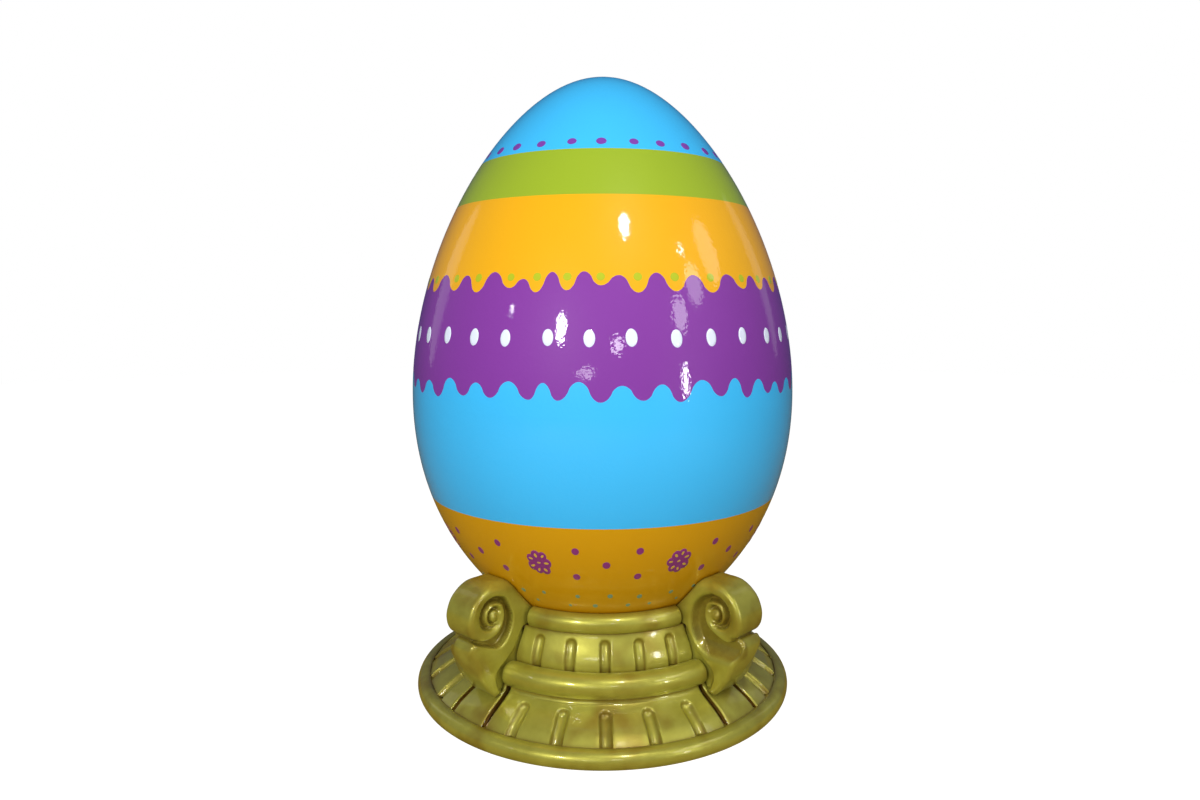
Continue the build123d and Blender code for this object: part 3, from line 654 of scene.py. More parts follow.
@dataclass
class PaintedEgg:
    """The hollow egg with its painted bands, dots and flowers."""

    outline: EggOutline = field(default_factory=EggOutline)
    skin: float = 6.0
    columns: int = 720
    inner_rows: int = 26
    cap_edge: float = 1706.0
    lime_edge: float = 1571.0
    blue_edge: float = 666.0
    upper_wave: Wave = field(default_factory=lambda: Wave(
        -61.0, (13.5, 10.0, 11.5, 8.0, 8.5, 9.0, 10.0, 10.5, 11.5, 12.5, 9.0, 10.0),
        (1310, 1312, 1306, 1317, 1305, 1310, 1323, 1304, 1308, 1305, 1317, 1316),
        (1358, 1354, 1361, 1341, 1359, 1360, 1350, 1357, 1352, 1356, 1355, 1352)))
    lower_wave: Wave = field(default_factory=lambda: Wave(
        -60.0, (10.5, 11.0, 9.0, 11.0, 7.5, 10.5, 10.5, 9.5, 12.0, 9.0, 9.5, 8.0),
        (1012, 1011, 1022, 1022, 1022, 1022, 1018, 1022, 1016, 1025, 1015, 1020),
        (1054, 1068, 1061, 1069, 1068, 1072, 1062, 1064, 1072, 1072, 1064, 1050)))
    dot_sides: int = 28
    film_profile: Points = ((1.0, -0.2), (0.97, 0.85), (0.6, 1.0))
    cap_count: int = 27
    cap_dots: float = 1728.0
    cap_size: tuple[float, float] = (30.0, 25.0)
    wave_dots: float = 1346.0
    wave_size: tuple[float, float] = (21.0, 21.0)
    oval_count: int = 33
    oval_row: float = 1185.0
    oval_size: tuple[float, float] = (31.0, 47.0)
    flower_count: int = 8
    flower_height: float = 546.0
    flower_turn: float = -20.3
    flower_stretch: float = 1.36
    flower_lean: float = 25.0
    petal_count: int = 7
    petal_reach: float = 23.0
    petal_size: tuple[float, float] = (27.0, 35.0)
    heart_size: tuple[float, float] = (14.0, 7.5)
    middle_petal: float = 1.5
    middle_heart: float = 0.8
    quincunx_size: tuple[float, float] = (21.5, 25.0)
    quincunx_reach: tuple[float, float] = (9.8, 44.0)
    teal_count: int = 30
    teal_rows: tuple[float, float] = (428.0, 390.0)
    teal_size: tuple[float, float] = (13.5, 17.0)

    def paints(self) -> dict[str, Material]:
        """Make the enamels.

        Returns:
            The materials by colour.
        """
        # shaded_orange is the golden orange darkened: painted shade for the band round the egg's
        # underside.
        colours = {
            "sky_blue": "#3DBEFA", "lime_green": "#9AB226", "golden_orange": "#EFAE08",
            "deep_purple": "#843A9E", "pearl_white": "#E4ECFC", "dot_purple": "#7E3FA6",
            "leaf_green": "#B2BE1E", "shaded_orange": "#D99C04", "plum": "#8C2F78", "teal": "#7FA078",
            "leaf_gold": "#DBAE3C",
        }
        return {name: SprayedEnamel(f"{name}_enamel", colour).make() for name, colour in colours.items()}

    def skins(self, paints: dict[str, Material]) -> None:
        """Build the two shells, their bands' edges running along the mesh.

        Args:
            paints: the egg's enamels.
        """
        turn = np.arange(self.columns) * 360.0 / self.columns
        joint = self.outline.centre_height + self.outline.joint_share * self.outline.half_height
        level = np.ones(self.columns)
        low_wave, high_wave = self.lower_wave.height(turn), self.upper_wave.height(turn)
        upper = [
            (low_wave, high_wave, 16, "deep_purple"),
            (high_wave, self.lime_edge * level, 10, "golden_orange"),
            (self.lime_edge * level, self.cap_edge * level, 6, "lime_green"),
            (self.cap_edge * level, self.outline.crown * level, 24, "sky_blue"),
        ]
        blue = (joint * level, low_wave, 4, "sky_blue")
        # The lowest band takes the darker orange: painted shade where the egg turns under.
        lower = [
            (self.outline.floor_height * level, self.blue_edge * level, 20, "shaded_orange"),
            (self.blue_edge * level, joint * level, 14, "sky_blue"),
        ]
        self.skin_piece("egg_upper_skin", [blue] + upper, paints, "egg_upper_shell", True)
        self.skin_piece("egg_lower_skin", lower, paints, "egg_lower_shell", False)

    def skin_piece(self, name: str, bands: list, paints: dict[str, Material],
                   node: str, crowned: bool) -> None:
        """Build one shell with its inner face.

        Args:
            name: the piece's name.
            bands: lower edge, upper edge, rows and paint of each band from the bottom up.
            paints: the egg's enamels.
            node: the node that it stands for.
            crowned: True where the top closes over the crown.
        """
        outer, paint_rows = [], []
        for low, high, rows, paint in bands:
            a, b = self.outline.angle(low), self.outline.angle(high)
            for k in range(rows):
                outer.append(a + (b - a) * k / rows)
                paint_rows.append(paint)
        if not crowned:
            outer.append(self.outline.angle(bands[-1][1]))
        outer = np.array(outer)
        turn = np.radians(np.arange(self.columns) * 360.0 / self.columns)

        def ring_points(angles: Array, depth: float) -> Array:
            """Points round the egg at each row's angles, moved inwards."""
            radius, height = self.outline.point(angles, depth)
            return np.stack([radius * np.sin(turn), -radius * np.cos(turn), height], -1).reshape(-1, 3)

        rows = len(outer)
        count = rows * self.columns
        share = np.linspace(0, 1, self.inner_rows)[:, None]
        inside = outer[0] * (1 - share) + outer[-1] * share
        points = [ring_points(outer, 0.0), ring_points(inside, self.skin)]
        faces = grid_faces(rows, self.columns, True).tolist()
        inner = grid_faces(self.inner_rows, self.columns, True, count)[:, ::-1].tolist()
        here = np.arange(self.columns)
        right = (here + 1) % self.columns
        foot = np.stack([right, here, here + count, right + count], -1).tolist()
        slots = [paint_rows[r] for r in range(rows - 1) for _ in range(self.columns)]
        last = (rows - 1) * self.columns
        last_inside = count + (self.inner_rows - 1) * self.columns
        if crowned:
            top = self.outline.crown
            pole = count + self.inner_rows * self.columns
            points.append(np.array([[0, 0, top], [0, 0, top - self.skin]]))
            at_pole = np.full_like(here, pole)
            closing = np.stack([last + here, last + right, at_pole], -1).tolist()
            inner += np.stack([last_inside + right, last_inside + here, at_pole + 1], -1).tolist()
        else:
            closing = np.stack([last + here, last + right, last_inside + right,
                                last_inside + here], -1).tolist()
        slots += [paint_rows[-1]] * len(closing)
        slots += [None] * (len(inner) + len(foot))
        piece = make_mesh(name, np.vstack(points), faces + closing + inner + foot)
        used = sorted(set(paint_rows))
        materials = [paints[paint] for paint in used] + [RawLaminate().make()]
        finish_piece(piece, Body.EGG, Slot.EGG_PAINT, materials, node)
        index = [used.index(s) if s else len(used) for s in slots]
        piece.data.polygons.foreach_set("material_index", index)

    def spots(self, name: str, paint: Material, places: list, spot: tuple[float, float],
              film: float = 0.5) -> None:
        """Paint a set of oval spots as thin films on the skin.

        Args:
            name: the piece's name.
            paint: its enamel.
            places: turn in degrees, height, size factor and lean in degrees of each spot.
            spot: width of a spot and its height along the skin.
            film: how far the film stands out.
        """
        angles = np.arange(self.dot_sides) * 2 * math.pi / self.dot_sides
        points, faces = [], []
        for turn, height, size, lean in places:
            radius = float(self.outline.radius_at(np.array(height)))
            c, s = math.cos(math.radians(lean)), math.sin(math.radians(lean))
            rings = []
            for share, lift in self.film_profile:
                x = share * size * spot[0] / 2 * np.cos(angles)
                y = share * size * spot[1] / 2 * np.sin(angles)
                across, along = x * c - y * s, x * s + y * c
                step = self.climb(height, along)
                rings.append(self.outline.surface(
                    turn + VIEW_TURN + np.degrees(across / radius), step, lift * film))
            middle = self.outline.surface(np.array([turn + VIEW_TURN]), np.array([height]), film)
            start = sum(len(p) for p in points)
            points += rings + [middle]
            faces += grid_faces(len(rings), self.dot_sides, True, start).tolist()
            inner = start + (len(rings) - 1) * self.dot_sides
            top = inner + self.dot_sides
            faces += [(inner + k, inner + (k + 1) % self.dot_sides, top) for k in range(self.dot_sides)]
            faces.append(tuple(start + k for k in range(self.dot_sides - 1, -1, -1)))
        piece = make_mesh(name, np.vstack(points), faces)
        finish_piece(piece, Body.EGG, Slot.EGG_PAINT, [paint])

    def flowers(self, paints: dict[str, Material]) -> None:
        """Paint the flowers low on the egg: plum petals round a middle, a golden heart in each.

        Args:
            paints: the egg's enamels.
        """
        petals, hearts = [], []
        around = float(self.outline.radius_at(np.array(self.flower_height)))
        for flower in range(self.flower_count):
            middle = self.flower_turn + flower * 360.0 / self.flower_count
            lean = self.flower_lean * flower
            petals.append((middle, self.flower_height, self.middle_petal, 0.0))
            hearts.append((middle, self.flower_height, self.middle_heart, lean))
            for petal in range(self.petal_count):
                angle = 360.0 * petal / self.petal_count + lean
                reach = self.petal_reach * (1.0 + 0.1 * math.sin(2.3 * petal + flower))
                rise = self.flower_stretch * reach * math.sin(math.radians(angle))
                turn = middle + math.degrees(reach * math.cos(math.radians(angle)) / around)
                height = float(self.climb(self.flower_height, np.array(rise)))
                size = 1.0 + 0.08 * math.cos(3.1 * petal + flower)
                petals.append((turn, height, size, 0.0))
                hearts.append((turn, height, size, angle))
        self.spots("egg_flower_petals", paints["plum"], petals, self.petal_size)
        self.spots("egg_flower_hearts", paints["leaf_gold"], hearts, self.heart_size, film=0.9)

    def pattern(self, paints: dict[str, Material]) -> None:
        """Paint the rows of dots and the flowers, each a little off its place.

        Args:
            paints: the egg's enamels.
        """
        cap = [(360.0 / self.cap_count * k - 0.5 + 0.7 * math.sin(2 * k),
                self.cap_dots + 2 * math.sin(3 * k), 1 + 0.08 * math.sin(5 * k), 0.0)
               for k in range(self.cap_count)]
        self.spots("egg_cap_dots", paints["dot_purple"], cap, self.cap_size)
        hollows = [(start, self.wave_dots, 0.9 + 0.02 * width * (1 + 0.2 * math.sin(start)), 0.0)
                   for start, width, _, _ in self.upper_wave.lobes()]
        self.spots("egg_wave_dots", paints["leaf_green"], hollows, self.wave_size)
        ovals = [(360.0 / self.oval_count * k - 3.3 + 0.5 * math.sin(4 * k),
                  self.oval_row + 2 * math.sin(2 * k), 1 + 0.04 * math.sin(7 * k), 3 * math.sin(k))
                 for k in range(self.oval_count)]
        self.spots("egg_white_ovals", paints["pearl_white"], ovals, self.oval_size)
        between = []
        aside, above = self.quincunx_reach
        for flower in range(self.flower_count):
            middle = self.flower_turn + (flower + 0.5) * 360.0 / self.flower_count - 1.0
            between.append((middle, self.flower_height + 2, 1.05, 0.0))
            for side, level in product((-1, 1), (-1, 1)):
                wander = 0.7 * math.sin(5 * flower + 2 * side + level)
                between.append((middle + side * (aside + wander),
                                self.flower_height + 3 + above * level, 1.0, 0.0))
        self.spots("egg_quincunx_dots", paints["plum"], between, self.quincunx_size)
        low = []
        for k in range(self.teal_count):
            turn = 360.0 / self.teal_count * k
            low.append((turn - 9.4 + 1.6 * math.sin(3 * k), self.teal_rows[0] + 4 * math.sin(2 * k),
                        1 + 0.2 * math.sin(k), 0.0))
            low.append((turn - 3.0 + 1.6 * math.sin(2 * k), self.teal_rows[1] + 3 * math.sin(3 * k),
                        0.9 + 0.2 * math.cos(k), 0.0))
        self.spots("egg_teal_dots", paints["teal"], low, self.teal_size)
        self.flowers(paints)

    def climb(self, height: float, along: Array) -> Array:
        """Heights reached by going along the skin from a height, upwards where along is positive."""
        low, high = self.outline.radius_at(np.array([height - 1.0, height + 1.0]))
        return height + along / math.hypot(1.0, (high - low) / 2)


@dataclass
class MouldedPanel:
    """Thin panel of one bay: an outline swept round the pedestal, with turned-in ends and sunk flutes.

    The outline runs from the foot up, and the flutes end at a share of its length.
    """

    name: str
    places: dict[str, float]
    outline: Points
    half_turn: float
    trim: float
    lowest: float
    flute_radius: float = 0.0
    flute_depth: float = 0.0
    flute_top_share: float = 0.0
    flute_pitch: float = 14.0
    flute_count: int = 5
    skin: float = 6.0
    depth: float = 18.0
    end_rounding: float = 7.0
    lip_softness: float = 2.6
    lip_start: float = 0.93
    rows: int = 40
    curve_steps: int = 16
    end_steps: int = 6
    end_row_share: float = 0.65
    end_width_share: float = 1.6
    end_margin_share: float = 2.1
    half_flute_columns: int = 8
    flute_reach_share: float = 1.25
    column_crowding: float = 0.85
    plain_columns: int = 9
    # Brown at the top and foot seams, down the turned-in ends and in the flutes: partly glazing, partly
    # painted shade.
    top_glaze_and_shade: tuple[float, float] = (0.85, 5.0)
    foot_glaze_and_shade: tuple[float, float] = (0.6, 4.0)
    end_glaze_and_shade: float = 0.9
    flute_wall_glaze_and_shade: float = 0.4
    flute_foot_glaze_and_shade: float = 0.35

    def end_path(self) -> Array:
        """Go down the end wall and round its edge.

        Returns:
            Steps in from the trimmed end and the depth at each.
        """
        turn = np.linspace(0, math.pi / 2, self.end_steps)
        arc = self.end_rounding * (1 - np.stack([np.cos(turn), np.sin(turn)], -1))
        return np.vstack([[0, self.depth], [0, self.depth * self.end_row_share], arc,
                          [self.end_rounding * self.end_width_share, 0]])

    def flute_turns(self) -> Array:
        """Middles of the flutes.

        Returns:
            Degrees from the middle of the bay.
        """
        if not self.flute_depth:
            return np.zeros(0)
        return self.flute_pitch * (np.arange(self.flute_count) - (self.flute_count - 1) / 2)

    def middle_turns(self, radius: float) -> Array:
        """Columns between the ends, close together over the flutes.

        Args:
            radius: the outline's least radius.

        Returns:
            Degrees from the middle of the bay.
        """
        reach = math.degrees(self.flute_reach_share * self.flute_radius / radius)
        margin = self.trim + self.end_margin_share * self.end_rounding
        edge = self.half_turn - math.degrees(margin / radius)
        turns = [-edge, edge]
        across = np.linspace(-1, 1, 2 * self.half_flute_columns + 1)
        for middle in self.flute_turns():
            step = np.sign(across) * np.abs(across) ** self.column_crowding
            turns += (middle + reach * step).tolist()
        if not self.flute_depth:
            turns += np.linspace(-edge, edge, self.plain_columns).tolist()
        turns = np.unique(np.round(turns, 4))
        return turns[(turns >= -edge) & (turns <= edge)]

    def flute(self, along: Array, across: Array, top: float) -> Array:
        """Depth of a round-ended flute.

        Args:
            along: length up the outline.
            across: distance to the side of the flute's middle.
            top: length at which the round end is centred.

        Returns:
            How deep the flute is there, its lip softly rounded.
        """
        lift = self.flute_radius - self.flute_depth
        away = np.hypot(across, np.maximum(along - top, 0))
        near = np.minimum(away, self.lip_start * self.flute_radius)
        slope = self.lip_start / math.sqrt(1 - self.lip_start**2)
        bowl = np.sqrt(self.flute_radius**2 - near**2) - lift - slope * (away - near)
        mix = np.clip(0.5 + bowl / (2 * self.lip_softness), 0, 1)
        return bowl * mix + self.lip_softness * mix * (1 - mix)

    def build(self, material: Material) -> None:
        """Make the panel of every bay.

        Args:
            material: its paint.
        """
        curve = smooth_curve(self.outline, self.curve_steps)
        lengths = np.concatenate([[0], np.cumsum(np.hypot(*np.diff(curve, axis=0).T))])
        along = np.linspace(0, lengths[-1], self.rows)
        radius, height = (np.interp(along, lengths, curve[:, k]) for k in (0, 1))
        tangent = np.stack([np.gradient(radius), np.gradient(height)], -1)
        tangent /= np.linalg.norm(tangent, axis=1, keepdims=True)
        normal = np.stack([tangent[:, 1], -tangent[:, 0]], -1)
        ends = self.end_path()
        middle = np.radians(self.middle_turns(radius.min()))
        count = 2 * len(ends) + len(middle)
        inset = np.zeros(count)
        inset[:len(ends)], inset[-len(ends):] = ends[:, 0], ends[::-1, 0]
        sunk = np.zeros((self.rows, count))
        sunk[:, :len(ends)], sunk[:, -len(ends):] = ends[:, 1], ends[::-1, 1]
        top = self.flute_top_share * lengths[-1]
        flute = np.zeros((self.rows, len(middle)))
        for turn in np.radians(self.flute_turns()):
            flute = np.maximum(flute, self.flute(along[:, None], radius[:, None] * (middle - turn), top))
        sunk[:, len(ends):-len(ends)] = flute

        def grid(depth: Array, trims: Array) -> Array:
            """Points of one face of the panel.

            Args:
                depth: how deep each point lies.
                trims: how far each end point lies inside the end of the bay.

            Returns:
                The points, rows by columns by 3.
            """
            r = radius[:, None] - normal[:, :1] * depth
            z = np.maximum(height[:, None] - normal[:, 1:] * depth, self.lowest)
            turn = np.zeros_like(r)
            end = math.radians(self.half_turn) - np.arcsin(trims / r)
            turn[:, :len(ends)] = -end[:, :len(ends)]
            turn[:, len(ends):-len(ends)] = middle
            turn[:, -len(ends):] = end[:, -len(ends):]
            return round_axis(r, turn, z)

        front = grid(sunk, self.trim + inset)
        back = grid(np.maximum(sunk + self.skin * (sunk < self.depth), self.skin),
                    self.trim + np.maximum(inset, self.skin))
        back[..., 2] = np.minimum(back[..., 2], front[..., 2] + self.skin)
        points, faces = closed_sheet(front, back)
        # Brown in the flutes, along the top and foot seams and down the turned-in ends: partly glazing,
        # partly painted shade.
        hollow = np.zeros((self.rows, count))
        hollow[:, len(ends):-len(ends)] = self.glaze_and_shade(flute, along, lengths[-1])
        hollow = np.maximum(hollow, seam(lengths[-1] - along[:, None], *self.top_glaze_and_shade))
        hollow = np.maximum(hollow, seam(along[:, None], *self.foot_glaze_and_shade))
        at_end = np.ones(count)
        at_end[len(ends):-len(ends)] = 0
        below = np.clip(sunk - self.end_rounding * 0.5, 0, 1)
        hollow = np.maximum(hollow, below * at_end * self.end_glaze_and_shade)
        place_round(self.name, "face", self.places, points, faces, np.tile(hollow.ravel(), 2), material)

    def glaze_and_shade(self, flute: Array, along: Array, length: float) -> Array:
        """Brown in the flutes, on their walls and towards their foot: partly glazing, partly painted
        shade.

        Args:
            flute: depth of the flutes at each point.
            along: each row's length up the outline.
            length: the outline's whole length.

        Returns:
            How much brown each point holds.
        """
        if not self.flute_depth:
            return flute
        deep = flute / self.flute_depth
        walls = self.flute_wall_glaze_and_shade * ramp(deep, 0, 0.3) * ramp(deep, 1.0, 0.5)
        foot = self.flute_foot_glaze_and_shade * ramp(deep, 0, 0.5) * ramp(along[:, None], 0.3 * length, 0)
        return np.clip(walls + foot, 0, 1)


@dataclass
class RoundBead:
    """Half-round moulding of one bay, its ends rounded off close to the brackets.

    Its joints are the angles round the section, in degrees, where other mouldings meet it.
    """

    name: str
    radius: float
    height: float
    bead: float
    inner_edge: Callable[[Array], Array]
    joints: tuple[float, ...]
    side_gap: float = 63.5
    end_share: float = 0.36
    squareness: float = 2.4
    section_points: int = 44
    end_rings: int = 9
    end_start: float = 0.22
    middle_rings: int = 46
    # Brown where other mouldings meet the bead and on its rounded-off ends: partly glazing, partly painted
    # shade.
    joint_glaze_and_shade: tuple[float, float] = (0.9, 5.0)
    end_glaze_and_shade: float = 0.7
    end_glaze_and_shade_shares: tuple[float, float] = (0.35, 0.85)

    def build(self, material: Material) -> None:
        """Make the bead of every bay.

        Args:
            material: its paint.
        """
        end = self.end_share * self.bead
        steps = end * (1 - np.cos(np.linspace(self.end_start, math.pi / 2, self.end_rings)))
        share = (1 - (1 - steps / end) ** self.squareness) ** (1 / self.squareness)
        tip = math.radians(45) - np.arcsin((self.side_gap + steps) / self.radius)
        middle = np.linspace(-tip[-1], tip[-1], self.middle_rings)[1:-1]
        turns = np.concatenate([-tip, middle, tip[::-1]])
        shares = np.concatenate([share, np.ones(len(middle)), share[::-1]])
        section = np.arange(self.section_points) * 2 * math.pi / self.section_points
        r = self.radius + self.bead * shares[:, None] * np.cos(section)
        z = self.height + self.bead * shares[:, None] * np.sin(section)
        r = np.maximum(r, self.inner_edge(z))
        points = round_axis(r, turns[:, None], z).reshape(-1, 3)
        faces = grid_faces(len(turns), self.section_points, True)[:, ::-1].tolist()
        last = (len(turns) - 1) * self.section_points
        faces.append(tuple(range(self.section_points)))
        faces.append(tuple(last + k for k in range(self.section_points - 1, -1, -1)))
        # Brown at the joints and the rounded-off ends: partly glazing, partly painted shade.
        beyond = [(np.degrees(section) - joint + 180) % 360 - 180 for joint in self.joints]
        at_joint = seam(np.abs(beyond).min(axis=0), *self.joint_glaze_and_shade)
        at_end = self.end_glaze_and_shade * (1 - ramp(shares[:, None], *self.end_glaze_and_shade_shares))
        glaze_and_shade = np.maximum(at_joint, at_end)
        place_round(self.name, "moulding", SIDES, points, faces, glaze_and_shade.ravel(), material)


@dataclass
class BaseRim:
    """Round rim on the floor: a half-round bead with a ledge behind it, hollow from below."""

    columns: int = 288
    radius: float = 600.0
    height: float = 18.0
    bead: float = 30.0
    rebate_radius: float = 588.3
    ledge_height: float = 38.0
    ledge_radius: float = 560.0
    wall: float = 6.0
    rebate_step: float = 1.5
    lip: Points = ((-1.1, -0.5), (-1.5, -1.6))
    hollow_start: float = 130.0
    hollow_foot: float = 1.0
    arc_points: int = 26
    hollow_points: int = 12
    skirt_foot: float = 44.0
    skirt_glaze_and_shade: tuple[float, float] = (0.9, 4.0)

    def arc(self, radius: float, start: float, end: float, count: int) -> Array:
        """Points on a circle round the bead's middle, between two angles."""
        turn = np.linspace(start, end, count)
        return np.stack([self.radius + radius * np.cos(turn), self.height + radius * np.sin(turn)], -1)

    def section(self) -> Array:
        """Go round the section, from the floor outside over the top.

        Returns:
            Radius and height of each point.
        """
        top = math.acos((self.rebate_radius + self.rebate_step - self.radius) / self.bead)
        outer = self.arc(self.bead, -math.asin(self.height / self.bead), top, self.arc_points)
        lip = outer[-1] + np.array(self.lip)
        bore = self.bead - 2 * self.wall
        foot_turn = -math.asin((self.height - self.hollow_foot) / bore)
        hollow = self.arc(bore, math.radians(self.hollow_start), foot_turn, self.hollow_points)
        step = np.array([
            (self.rebate_radius, self.ledge_height), (self.ledge_radius, self.ledge_height),
            (self.ledge_radius, 0), (self.ledge_radius + self.wall, 0),
            (self.ledge_radius + self.wall, self.ledge_height - self.wall),
            (hollow[0][0] - 0.1, self.ledge_height - self.wall)])
        foot = np.array([(hollow[-1][0], 0.0)])
        return np.vstack([outer, lip, step, hollow, foot])

    def build(self, material: Material) -> None:
        """Make the rim.

        Args:
            material: its paint.
        """
        section = self.section()
        turn = np.arange(self.columns)[:, None] * 2 * math.pi / self.columns
        size = len(section)
        height = np.broadcast_to(section[:, 1], (self.columns, size))
        points = round_axis(section[:, 0], turn, height).reshape(-1, 3)
        c, s = np.meshgrid(np.arange(self.columns), np.arange(size), indexing="ij")
        following = (c + 1) % self.columns
        faces = np.stack([c * size + s, following * size + s, following * size + (s + 1) % size,
                          c * size + (s + 1) % size], -1).reshape(-1, 4)
        # Brown along the seam where the skirt meets the rim: partly glazing, partly painted shade.
        near = np.hypot(section[:, 0] - self.rebate_radius, section[:, 1] - self.skirt_foot)
        glaze_and_shade = np.tile(seam(near, *self.skirt_glaze_and_shade), self.columns)
        piece = make_mesh("base_rim_moulding", points, faces.tolist(), glaze_and_shade)
        finish_piece(piece, Body.STAND, Slot.GOLD_PAINT, [material], "base_rim")


def polygon_distance(corners: Array, u: Array, v: Array) -> Array:
    """Distance to a closed polygon, negative inside.

    Args:
        corners: the polygon's points, one row each.
        u: first coordinates of the places asked for.
        v: their second coordinates.

    Returns:
        The distances.
    """
    nearest = np.full(u.shape, np.inf)
    inside = np.zeros(u.shape, bool)
    for (u0, v0), (u1, v1) in zip(corners, np.roll(corners, -1, axis=0)):
        du, dv = u1 - u0, v1 - v0
        share = np.clip(((u - u0) * du + (v - v0) * dv) / max(du * du + dv * dv, 1e-9), 0, 1)
        nearest = np.minimum(nearest, np.hypot(u - u0 - share * du, v - v0 - share * dv))
        if dv:
            inside ^= ((v0 > v) != (v1 > v)) & (u < u0 + (v - v0) / dv * du)
    return np.where(inside, -nearest, nearest)


def along_path(path: Array, u: Array, v: Array) -> tuple[Array, Array]:
    """Distance to an open path, and the path's other values at the nearest place.

    Args:
        path: rows of two coordinates and any further values.
        u: first coordinates of the places asked for.
        v: their second coordinates.

    Returns:
        The distances, and an array with one value of each further column for every place.
    """
    nearest = np.full(u.shape, np.inf)
    values = np.zeros((*u.shape, path.shape[1] - 2))
    for start, end in zip(path[:-1], path[1:]):
        du, dv = end[:2] - start[:2]
        share = np.clip(((u - start[0]) * du + (v - start[1]) * dv) / max(du * du + dv * dv, 1e-9), 0, 1)
        away = np.hypot(u - start[0] - share * du, v - start[1] - share * dv)
        closer = away < nearest
        nearest = np.where(closer, away, nearest)
        reached = start[2:] + share[..., None] * (end[2:] - start[2:])
        values = np.where(closer[..., None], reached, values)
    return nearest, values


def surface_net(values: Array, origin: Array, step: float) -> tuple[Array, Array]:
    """Closed mesh where a field on a grid changes sign.

    Args:
        values: the field, negative inside.
        origin: place of the first grid point.
        step: spacing of the grid.

    Returns:
        The points and four point numbers for each face, turned outwards.
    """
    cells = tuple(n - 1 for n in values.shape)
    total, hits = np.zeros((*cells, 3)), np.zeros(cells)

    def corner_view(corner: tuple[int, ...]) -> Array:
        """Values at one corner of every cell."""
        return values[tuple(slice(c, c + n) for c, n in zip(corner, cells))]

    for axis, corner in product(range(3), product((0, 1), repeat=3)):
        if corner[axis]:
            continue
        low = corner_view(corner)
        high = corner_view(tuple(1 if k == axis else c for k, c in enumerate(corner)))
        crossed = (low < 0) != (high < 0)
        place = np.broadcast_to(np.array(corner, float), (*cells, 3)).copy()
        place[..., axis] = low / np.where(crossed, low - high, 1)
        total += crossed[..., None] * place
        hits += crossed
    used = hits > 0
    number = np.full(cells, -1)
    number[used] = np.arange(used.sum())
    points = (np.argwhere(used) + total[used] / hits[used][:, None]) * step + origin
    faces = []
    for axis in range(3):
        first, second = np.eye(3, dtype=int)[(axis + 1) % 3], np.eye(3, dtype=int)[(axis + 2) % 3]
        low = np.take(values, range(values.shape[axis] - 1), axis)
        high = np.take(values, range(1, values.shape[axis]), axis)
        at = np.argwhere((low < 0) != (high < 0))
        quad = np.stack([number[tuple((at - shift).T)] for shift in
                         (first + second, second, np.zeros(3, int), first)], -1)
        outwards = low[tuple(at.T)] < 0
        faces += [quad[outwards], quad[~outwards][:, ::-1]]
    return points, np.vstack(faces)


def relaxed(points: Array, faces: Array, passes: int) -> Array:
    """Move each point half-way to the middle of its neighbours, pass by pass.

    Args:
        points: the points.
        faces: four point numbers for each face.
        passes: how often they move.

    Returns:
        The moved points.
    """
    start = faces.ravel()
    end = np.roll(faces, -1, axis=1).ravel()
    count = np.bincount(start, minlength=len(points)) + np.bincount(end, minlength=len(points))
    for _ in range(passes):
        middle = np.stack([np.bincount(start, points[end, k], len(points))
                           + np.bincount(end, points[start, k], len(points)) for k in range(3)], -1)
        points = (points + middle / count[:, None]) / 2
    return points


